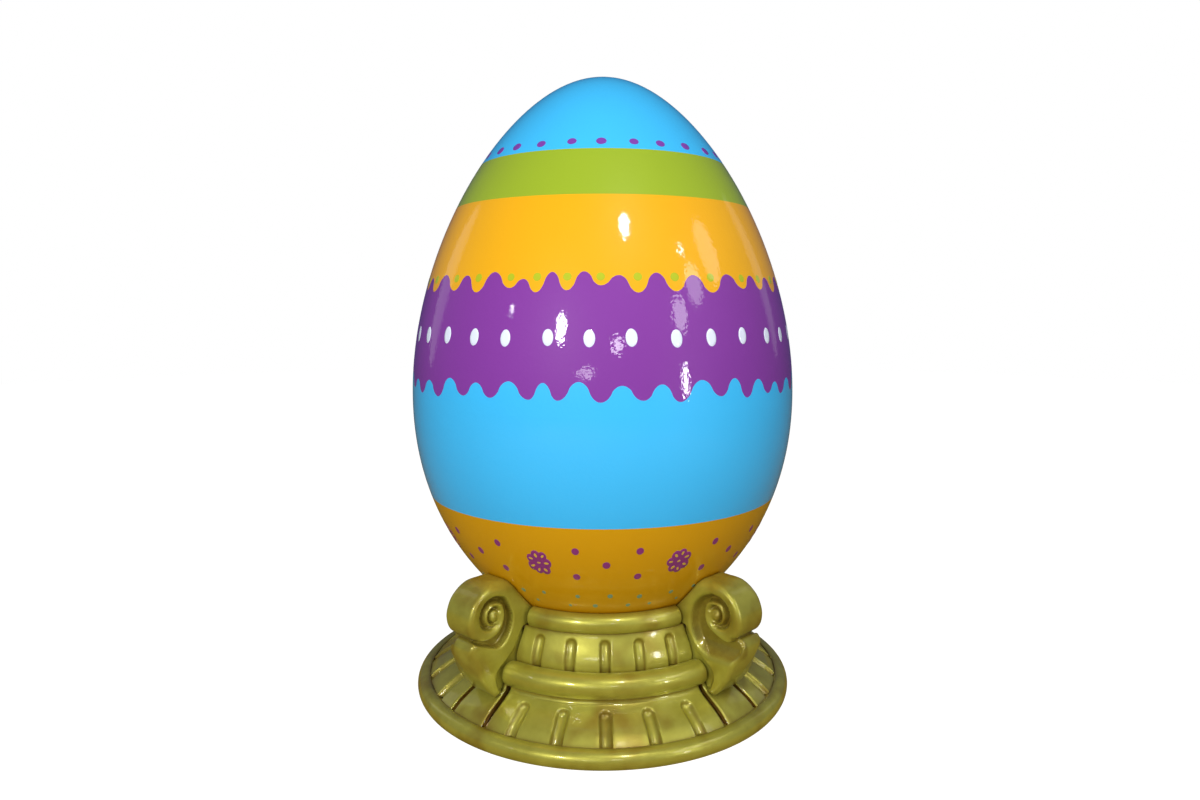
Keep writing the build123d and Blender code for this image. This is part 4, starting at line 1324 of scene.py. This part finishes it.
@dataclass
class ScrollBracket:
    """Cast bracket: a volute over a swollen knee, a scroll sunk in each side.

    Places on it are given from the volute's eye, outwards and upwards, or as degrees and radius
    round the eye. One side, towards the next bay counter-clockwise, has a crescent beside the
    scroll, and the other a wide cove. The roundings of head, knee and back are each followed by
    the heights and by the radii between which they take over from the edge's. A point of the crest
    goes on with the crest's half width and the fall inside it, a point of a groove with its width
    and depth, and a point of the cove's coil with the width of its wall.
    """

    egg: EggOutline
    step: float = 3.0
    eye: tuple[float, float] = (518.0, 352.0)
    half_width: float = 63.0
    egg_gap: float = 2.5
    tread: Points = (
        (124, 124), (113, 113), (101, 105), (90, 101), (76, 97), (58, 94.5), (35, 94), (10, 94),
        (-10, 93.5), (-26, 90.5), (-40, 84))
    knee: Points = (
        (583, 297), (595, 293), (605, 283), (611, 266), (608, 238), (598, 209), (583, 182), (563, 153),
        (541, 127), (519, 105))
    back: Points = (
        (489, 113.8), (480.5, 123), (478.5, 131.3), (400, 131.3), (400, 291.3), (360, 291.3), (360, 470))
    face_widths: Points = (
        (196, 0), (206, 4), (225, 19), (246, 35), (264, 50), (290, 63))
    face_drops: Points = (
        (112, 0), (130, 2), (150, 4), (170, 7), (188, 12), (209, 16), (228, 18), (250, 17), (270, 12),
        (288, 5), (300, 3))
    crease_softness: float = 7.0
    edge_rounding: float = 15.0
    head_rounding: tuple[float, ...] = (30.0, 395, 435, 545, 495)
    knee_rounding: tuple[float, ...] = (13.0, 288, 258, 470, 500)
    back_rounding: tuple[float, ...] = (4.0, 300, 285, 430, 405)
    crest: Points = (
        (100, 88, 63, 0), (60, 85, 63, 5), (35, 84, 63, 8), (10, 79, 63, 8), (-15, 72, 62.5, 8),
        (-38, 62, 62, 8), (-62, 51, 61.5, 8), (-90, 40, 61, 8), (-125, 33, 60.5, 7), (-165, 30, 60, 6),
        (-205, 34, 59.5, 5), (-240, 39, 59, 5), (-272, 42, 58.5, 5), (-302, 39, 58, 5), (-332, 34, 58, 5),
        (-362, 28, 57.5, 4), (-400, 23, 57, 3), (-440, 20, 56.5, 2))
    grooves: tuple[Points, ...] = (
        ((142, 56, 8, 14), (126, 56, 9.5, 24), (100, 55, 10, 27), (75, 55, 10, 27), (50, 52, 9.5, 26),
         (25, 48, 9, 25), (0, 44, 8.5, 24), (-27, 39, 8, 23), (-52, 33, 7, 20), (-78, 27, 6, 16),
         (-102, 23, 5, 10), (-125, 20, 3.5, 0)),
        ((135, 26, 6, 9), (108, 28, 6.5, 15), (75, 27, 6.5, 16), (40, 23, 6.5, 16), (5, 19, 6, 16),
         (-35, 16, 5.5, 15), (-75, 15, 5, 12), (-115, 14, 4, 6), (-150, 14, 3, 0)))
    crest_blend: float = 6.0
    crest_slope: float = 24.0
    groove_reach: float = 1.45
    ball_radius: float = 14.0
    ball_base: float = 46.0
    recess_depth: float = 28.0
    crescent: Points = (
        (78, -55), (60, -66), (30, -80), (-6, -92), (-29, -86), (-48, -67), (-60, -44), (-66, -20),
        (-65, -2), (-58, 17), (-51, 32), (-44, 43), (-35, 46), (-29, 37), (-33, 22), (-36, 8), (-35, -7),
        (-30, -22), (-22, -36), (-6, -50), (14, -57), (36, -59), (56, -56))
    crescent_lip: float = 2.0
    crescent_wall: float = 4.5
    cove_rim: Points = (
        (-4, 76), (-26, 71), (-52, 58), (-76, 35), (-91, 2), (-93, -37), (-86, -70), (-68, -103),
        (-43, -126), (-14, -148))
    cove_coil: Points = (
        (-4, 58, 7), (-17, 49, 7), (-28, 31, 7), (-33, 8, 7), (-32, -8, 7), (-26, -24, 7), (-15, -37, 7),
        (8, -51, 7), (34, -60, 7), (52, -61, 7), (65, -54, 6), (78, -50, 6), (96, -48, 14), (112, -60, 38),
        (114, -96, 40), (98, -130, 40), (66, -150, 40), (-10, -154, 40))
    cove_slope: float = 24.0
    cove_floor_end: float = -146.0
    cove_fade: float = 66.0
    waist: Points = (
        (405, 312), (413, 300), (425, 282), (442, 253), (456, 232), (480, 212), (509, 191), (519, 162),
        (508, 124))
    waist_back: Points = ((470, 100), (340, 100), (340, 330))
    waist_depth: float = 13.0
    waist_wall: float = 5.0
    waist_top: float = 304.0
    waist_end: float = 292.0
    radii: tuple[float, float] = (348.0, 624.0)
    heights: tuple[float, float] = (104.0, 472.0)
    side_margin: float = 9.0
    knee_start: float = 440.0
    egg_slope: float = 0.85
    valley: tuple[float, float] = (587.0, 298.0)
    seat_edge: float = 505.0
    seat_slope: float = 0.75
    smoothing_passes: int = 2
    # Brown in the grooves, crescent and cove, in the valley under the scroll and along the seats: painted
    # shade in these recesses, with some glazing.
    valley_glaze_and_shade: tuple[float, float] = (0.8, 8.0)
    seat_glaze_and_shade: tuple[float, float] = (0.8, 5.0)
    groove_glaze_and_shade: float = 0.5
    glaze_and_shade_depths: tuple[float, float] = (2.0, 12.0)
    glaze_and_shade_sides: tuple[float, float] = (12.0, 26.0)

    def polar(self, rows: Sequence[tuple[float, ...]]) -> list[tuple[float, ...]]:
        """Places from degrees and radius round the eye, further values kept."""
        return [(r * math.cos(math.radians(turn)), r * math.sin(math.radians(turn)), *rest)
                for turn, r, *rest in rows]

    def outline(self) -> Array:
        """Outline of tread, knee and back.

        Returns:
            Radius and height of each point.
        """
        tread = smooth_curve(self.polar(self.tread), 8) + np.array(self.eye)
        knee = smooth_curve(self.knee, 8)
        return np.vstack([tread, knee, np.array(self.back)])

    def carved(self, u: Array, v: Array) -> tuple[Array, Array]:
        """Carve the scroll and its ball.

        Args:
            u: places outwards from the eye.
            v: places upwards from it.

        Returns:
            How far the side falls back, and how deep the grooves are below that.
        """
        path = smooth_curve(self.polar(self.crest), 6)
        away, top = along_path(path, u, v)
        place = np.hypot(u, v)
        reach = np.column_stack([path[:, :2], np.hypot(path[:, 0], path[:, 1])])
        within = along_path(reach, u, v)[1][..., 0] - place
        fall = (self.half_width - top[..., 0]) * ramp(within, -self.crest_blend, self.crest_blend)
        fall += top[..., 1] * smooth_step(away / self.crest_slope) * (within > 0)
        ball = self.ball_base + np.sqrt(np.maximum(self.ball_radius**2 - place**2, 0))
        groove = np.zeros_like(u)
        for rows in self.grooves:
            near, values = along_path(smooth_curve(self.polar(rows), 6), u, v)
            reach = self.groove_reach * np.maximum(values[..., 0], 1)
            groove = np.maximum(groove, values[..., 1] * (1 - smooth_step(near / reach)))
        on_ball = place < self.ball_radius
        fall = np.where(on_ball, np.minimum(fall, self.half_width - ball), fall)
        groove = np.where(on_ball, np.minimum(groove, self.half_width - ball - fall), groove)
        return fall, groove

    def crescent_cut(self, u: Array, v: Array) -> Array:
        """Depth of the crescent."""
        inside = -polygon_distance(smooth_curve(self.crescent + self.crescent[:1], 4), u, v)
        return self.recess_depth * smooth_step((inside + self.crescent_lip) / self.crescent_wall)

    def cove_cut(self, u: Array, v: Array) -> Array:
        """Carve the cove, steep by the scroll, gentle by the stem and run out below.

        Args:
            u: places outwards from the eye.
            v: places upwards from it.

        Returns:
            Its depth.
        """
        rim, coil = smooth_curve(self.cove_rim, 4), smooth_curve(self.cove_coil, 4)
        inside = polygon_distance(np.vstack([rim, coil[::-1, :2]]), u, v) < 0
        from_rim = smooth_step(along_path(rim, u, v)[0] / self.cove_slope)
        away, wall = along_path(coil, u, v)
        from_coil = smooth_step(away / wall[..., 0])
        fade = smooth_step((v - self.cove_floor_end) / self.cove_fade)
        return self.recess_depth * inside * from_rim * from_coil * fade

    def waist_cut(self, r: Array, z: Array) -> Array:
        """Step each side in behind the stem, towards the drum and the bead's end.

        Args:
            r: radii.
            z: heights.

        Returns:
            The depth of the step.
        """
        stem = smooth_curve(self.waist, 5)
        inside = -polygon_distance(np.vstack([stem, self.waist_back]), r, z)
        wall = smooth_step(inside / self.waist_wall)
        return self.waist_depth * wall * ramp(z, self.waist_top, self.waist_end)

    def knee_drop(self, across: Array, height: Array) -> Array:
        """Let the knee's front fall back beside its flat face, which narrows downwards.

        Args:
            across: distances from the bracket's middle.
            height: heights.

        Returns:
            How far it falls back.
        """
        flat_half = np.interp(height, *np.array(self.face_widths).T)
        full = np.interp(height, *np.array(self.face_drops).T)
        beyond = np.abs(across)[:, None] - flat_half
        soft = (beyond + np.hypot(beyond, self.crease_softness)) / 2
        return full * soft / np.maximum(self.half_width - flat_half, 2 * self.crease_softness)

    def build(self, material: Material) -> None:
        """Mesh one bracket and set it at the four corners.

        Args:
            material: its paint.
        """
        outer = self.half_width + self.side_margin
        spans = (self.radii, (-outer, outer), self.heights)
        low = np.array([start for start, _ in spans])
        radius, across, height = (np.arange(*span, self.step) for span in spans)
        r, z = np.meshgrid(radius, height, indexing="ij")
        u, v = r - self.eye[0], z - self.eye[1]
        flat = polygon_distance(self.outline(), r, z)
        fall, groove = self.carved(u, v)
        fall += self.waist_cut(r, z)
        sunk = np.maximum(groove, np.stack([self.cove_cut(u, v), self.crescent_cut(u, v)]))
        cuts = fall + sunk
        rounding = self.edge_rounding
        for amount, z_start, z_end, r_start, r_end in (
                self.head_rounding, self.knee_rounding, self.back_rounding):
            share = ramp(z, z_start, z_end) * ramp(r, r_start, r_end)
            rounding = rounding + (amount - self.edge_rounding) * share
        side = (across > 0).astype(int)
        sides = np.abs(across)[None, :, None] - np.moveaxis((self.half_width - cuts)[side], 0, 1)
        edge = rounding[:, None, :]
        drop = self.knee_drop(across, height) / self.step
        shifted = np.arange(len(radius))[:, None, None] + drop[None]
        low_row = np.clip(shifted.astype(int), 0, len(radius) - 2)
        share = shifted - low_row
        column = np.arange(len(height))[None, None, :]
        front = flat[low_row, column] * (1 - share) + flat[low_row + 1, column] * share
        profile = np.where(r[:, None, :] > self.knee_start, front, flat[:, None, :])
        a, b = profile + edge, sides + edge
        outside = np.hypot(np.maximum(a, 0), np.maximum(b, 0))
        body = np.minimum(np.maximum(a, b), 0) + outside - edge
        egg_radius = self.egg.radius_at(height)[None, None, :] + self.egg_gap
        reach = np.hypot(radius[:, None, None], across[None, :, None])
        body = np.maximum(body, (egg_radius - reach) * self.egg_slope)
        points, faces = surface_net(body, low, self.step)
        points = relaxed(points, faces, self.smoothing_passes)
        # Brown that darkens the recesses, valley and seats: painted shade, with some glazing.
        glaze_and_shade = self.glaze_and_shade(points, sunk, low)
        place_round("scroll_bracket", "casting", CORNERS, points, faces.tolist(), glaze_and_shade, material)

    def glaze_and_shade(self, points: Array, sunk: Array, low: Array) -> Array:
        """Brown in the scroll's grooves and recesses, in the valley and along the seats: painted shade,
        with some glazing.

        Args:
            points: the casting's points.
            sunk: depth of each side's grooves and recesses.
            low: first corner of the grid.

        Returns:
            How much brown each point holds.
        """
        index = np.clip(np.round((points - low) / self.step).astype(int), 0, None)
        row = np.minimum(index[:, 0], sunk.shape[1] - 1)
        column = np.minimum(index[:, 2], sunk.shape[2] - 1)
        depth = sunk[(points[:, 1] > 0).astype(int), row, column]
        on_side = ramp(np.abs(points[:, 1]), *self.glaze_and_shade_sides)
        groove = self.groove_glaze_and_shade * ramp(depth, *self.glaze_and_shade_depths) * on_side
        beside = np.hypot(points[:, 0] - self.valley[0], points[:, 2] - self.valley[1])
        valley = seam(beside, *self.valley_glaze_and_shade)
        reach = np.hypot(points[:, 0], points[:, 1])
        gap = np.abs(reach - self.egg.radius_at(points[:, 2]) - self.egg_gap)
        behind = np.maximum(self.seat_edge - points[:, 0], 0)
        above = points[:, 2] - self.heights[0] - behind * self.seat_slope
        seats = seam(np.minimum(gap, np.maximum(above, 0)), *self.seat_glaze_and_shade)
        return np.maximum.reduce([groove, valley, seats])


@dataclass
class InnerWorks:
    """Boards, post, socket and fixings, shown as they come from the frame."""

    frame: dict
    paint_colour: str = "#F3B70F"

    def finishes(self) -> dict[str, Material]:
        """Make the finishes.

        Returns:
            The materials by slot of the record.
        """
        plain = {
            "primed_steel": PlainFinish("grey_primer_on_steel", "#4C4F50", "#404344", 0.6, 1.5, 0.25),
            "plated_steel": PlainFinish("zinc_plating", "#C7CACC", "#AEB2B3", 0.32, 2.0, 0.08, 1.0),
            "insert_brass": PlainFinish("turned_brass", "#C9A24E", "#B48D3E", 0.3, 1.0, 0.08, 1.0),
            "pad_rubber": PlainFinish("moulded_black_rubber", "#18191A", "#222324", 0.8, 1.2, 0.35),
            "raw_laminate": RawLaminate("bonded_laminate_strip"),
            "gold_paint": AntiqueGold("antique_gold_undersides"),
            "plywood": BirchPlywood(),
        }
        return {slot: finish.make() for slot, finish in plain.items()}

    def build(self) -> None:
        """Give every node of the frame its finish; what has none of its own gets the egg's enamel."""
        finishes = self.finishes()
        paint = SprayedEnamel("enamel_under_the_pattern", self.paint_colour).make()
        for entry in self.frame["record"]["subparts"]:
            node = self.frame["nodes"][entry["node"]]
            node.data.materials.clear()
            node.data.materials.append(finishes.get(entry["material_slot"], paint))
        log.info("inner works: %d nodes", len(self.frame["nodes"]))


@dataclass
class Mouldings:
    """Rim, panels and beads of the pedestal."""

    egg: EggOutline
    skirt: Points = (
        (588, 44), (560.5, 68.5), (530, 88), (504.5, 102.5), (489, 113), (480.3, 121.5), (477.8, 133))
    drum: Points = (
        (441, 193.5), (438.9, 216.4), (430.2, 242.3), (417.9, 268.3), (409.2, 289), (405.5, 301))
    middle_bead_inside: float = 430.0
    collar_least_inside: float = 360.0
    collar_gap: float = 2.5

    def collar_inside(self, height: Array) -> Array:
        """Radius of the collar's dished inside."""
        return np.maximum(self.egg.radius_at(height) + self.collar_gap, self.collar_least_inside)

    def middle_inside(self, height: Array) -> Array:
        """Radius of the middle bead's upright inside."""
        return np.full_like(height, self.middle_bead_inside)

    def build(self, material: Material) -> None:
        """Make the mouldings from the floor up.

        Args:
            material: its paint.
        """
        BaseRim().build(material)
        MouldedPanel("skirt_panel", SIDES, self.skirt, half_turn=37.6, trim=7.5, lowest=38.2,
                     flute_radius=20.0, flute_depth=15.0, flute_top_share=0.64).build(material)
        MouldedPanel("plinth_panel", CORNERS, self.skirt, half_turn=7.4, trim=7.5, lowest=38.2,
                     rows=26).build(material)
        MouldedPanel("drum_panel", SIDES, self.drum, half_turn=45.0, trim=54.0, lowest=180.0,
                     flute_radius=18.0, flute_depth=12.0, flute_top_share=0.70).build(material)
        RoundBead("middle_bead", 466.0, 167.0, 38.0, self.middle_inside, (-71.6, 131.2),
                  51.0).build(material)
        RoundBead("collar_bead", 384.0, 324.0, 33.0, self.collar_inside, (-48.0, 90.0)).build(material)


@dataclass(frozen=True)
class Lamp:
    """An oval softbox that faces the egg: its centre, its width and height, its power in watts."""

    name: str
    place: tuple[float, float, float]
    size: tuple[float, float]
    watts: float
    mirrored: bool = True

    def hang(self, aim: tuple[float, float, float]) -> None:
        """Hang the lamp. Where it isn't mirrored, no gloss shows it.

        Args:
            aim: the point that it faces.
        """
        data = bpy.data.lights.new(self.name, "AREA")
        data.shape = "ELLIPSE"
        data.size, data.size_y = (s * MM for s in self.size)
        data.energy = self.watts
        lamp = bpy.data.objects.new(self.name, data)
        lamp.location = Vector(self.place) * MM
        lamp.rotation_euler = (Vector(aim) - Vector(self.place)).to_track_quat("-Z", "Y").to_euler()
        lamp.visible_glossy = self.mirrored
        bpy.context.scene.collection.objects.link(lamp)


@dataclass
class Studio:
    """Camera, floor and lights. The lamps hang where the egg mirrors them in the photograph."""

    camera_distance: float = 2757.8
    camera_height: float = 1274.0
    camera_turn: float = VIEW_TURN
    camera_pitch: float = 6.634
    focal_share: float = 825.1 / 1200
    sensor: float = 36.0
    axis_offset_share: float = 2.56 / 1200
    clip_end_m: float = 100.0
    floor_radius: float = 14000.0
    floor_sides: int = 64
    floor_drop: float = 0.5
    floor_colour: str = "#8E8C86"
    mirrored_floor_colour: str = "#967A34"
    floor_whitening: float = 0.95
    paper_grain_mm: float = 3.0
    paper_grain_strength: float = 0.02
    paper_roughness: float = 0.9
    paper_specular: float = 0.1
    ambient: float = 0.32
    mirrored_ambient: float = 0.13
    mirrored_tint: str = "#9AA8FF"
    aim: tuple[float, float, float] = (0.0, 0.0, 1200.0)
    lamps: tuple[Lamp, ...] = (
        Lamp("front_lamp", (944, -3245, 4945), (330, 520), 56),
        Lamp("left_lamp", (-1947, -4384, 2782), (430, 760), 56),
        Lamp("right_window_high", (3584, -1032, 3604), (900, 1300), 7),
        Lamp("right_window_middle", (3320, -2208, 3238), (760, 900), 8),
        Lamp("right_window_low", (2919, -3064, 2768), (620, 800), 9),
        Lamp("centre_sign", (594, -4895, 2405), (520, 420), 9),
        Lamp("low_sign", (-849, -5003, 1675), (900, 260), 5),
        Lamp("right_sign", (3474, -3669, 1357), (260, 900), 22),
        Lamp("far_left_spot", (-3829, -2669, 2950), (160, 160), 3),
        Lamp("far_right_spot", (3230, -2338, 4197), (160, 200), 3),
        Lamp("left_doorway", (-3700, 1650, 2400), (900, 2600), 3.5),
        Lamp("right_doorway", (3610, 1750, 2500), (700, 2600), 2),
        Lamp("front_bounce", (-2100, -5400, 2500), (3600, 2600), 140, mirrored=False))

    def camera(self) -> None:
        """Set the camera where the photograph was taken."""
        data = bpy.data.cameras.new("camera")
        data.sensor_width = self.sensor
        data.lens = self.focal_share * self.sensor
        data.shift_x = -self.axis_offset_share
        data.clip_end = self.clip_end_m
        camera = bpy.data.objects.new("camera", data)
        turn = math.radians(self.camera_turn)
        out = self.camera_distance
        camera.location = Vector((out * math.sin(turn), -out * math.cos(turn), self.camera_height)) * MM
        camera.rotation_euler = (math.radians(90.0 - self.camera_pitch), 0.0, turn)
        bpy.context.scene.collection.objects.link(camera)
        bpy.context.scene.camera = camera

    def floor(self) -> None:
        """Lay a pale paper floor that takes the object's shadow, warmer where gloss mirrors it."""
        material, tree, shader, place = blank_material("pale_paper_floor")
        path = add_node(tree, "ShaderNodeLightPath")
        feed(tree, shader, {
            "Base Color": blend(tree, path.outputs["Is Glossy Ray"], linear(self.floor_colour),
                                linear(self.mirrored_floor_colour)),
            "Normal": bump(tree, noise(tree, place, self.paper_grain_mm, 2.0),
                           self.paper_grain_strength, 1.0),
            "Emission Strength": spread(tree, path.outputs["Is Camera Ray"], 0.0, self.floor_whitening),
            "Emission Color": WHITE, "Roughness": self.paper_roughness,
            "Specular IOR Level": self.paper_specular})
        turns = np.arange(self.floor_sides) * 2 * math.pi / self.floor_sides
        points = round_axis(self.floor_radius, turns, np.full(self.floor_sides, -self.floor_drop))
        floor = make_mesh("floor", points, [tuple(range(self.floor_sides))])
        floor.data.materials.append(material)

    def world(self) -> None:
        """White for the camera, soft light for the object, dimmer and bluer in its gloss."""
        world = bpy.data.worlds.new("studio")
        world.use_nodes = True
        bpy.context.scene.world = world
        tree = world.node_tree
        tree.nodes.clear()
        path = add_node(tree, "ShaderNodeLightPath")
        glossy = path.outputs["Is Glossy Ray"]
        around = spread(tree, glossy, self.ambient, self.mirrored_ambient)
        sky = add_node(tree, "ShaderNodeBackground", inputs={
            "Color": blend(tree, glossy, WHITE, linear(self.mirrored_tint)),
            "Strength": spread(tree, path.outputs["Is Camera Ray"], around, 1.0)})
        add_node(tree, "ShaderNodeOutputWorld", inputs={"Surface": sky.outputs["Background"]})

    def build(self) -> None:
        """Set up the whole studio."""
        bpy.context.scene.view_settings.view_transform = "Standard"
        self.camera()
        self.floor()
        self.world()
        for lamp in self.lamps:
            lamp.hang(self.aim)


def main() -> None:
    """Build the dressed model round the frame."""
    logging.basicConfig(level=logging.INFO, format="%(message)s")
    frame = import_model()
    Studio().build()
    egg = PaintedEgg()
    paints = egg.paints()
    egg.skins(paints)
    egg.pattern(paints)
    gold = AntiqueGold().make()
    InnerWorks(frame).build()
    Mouldings(egg.outline).build(gold)
    ScrollBracket(egg.outline).build(gold)


if __name__ == "__main__":
    main()
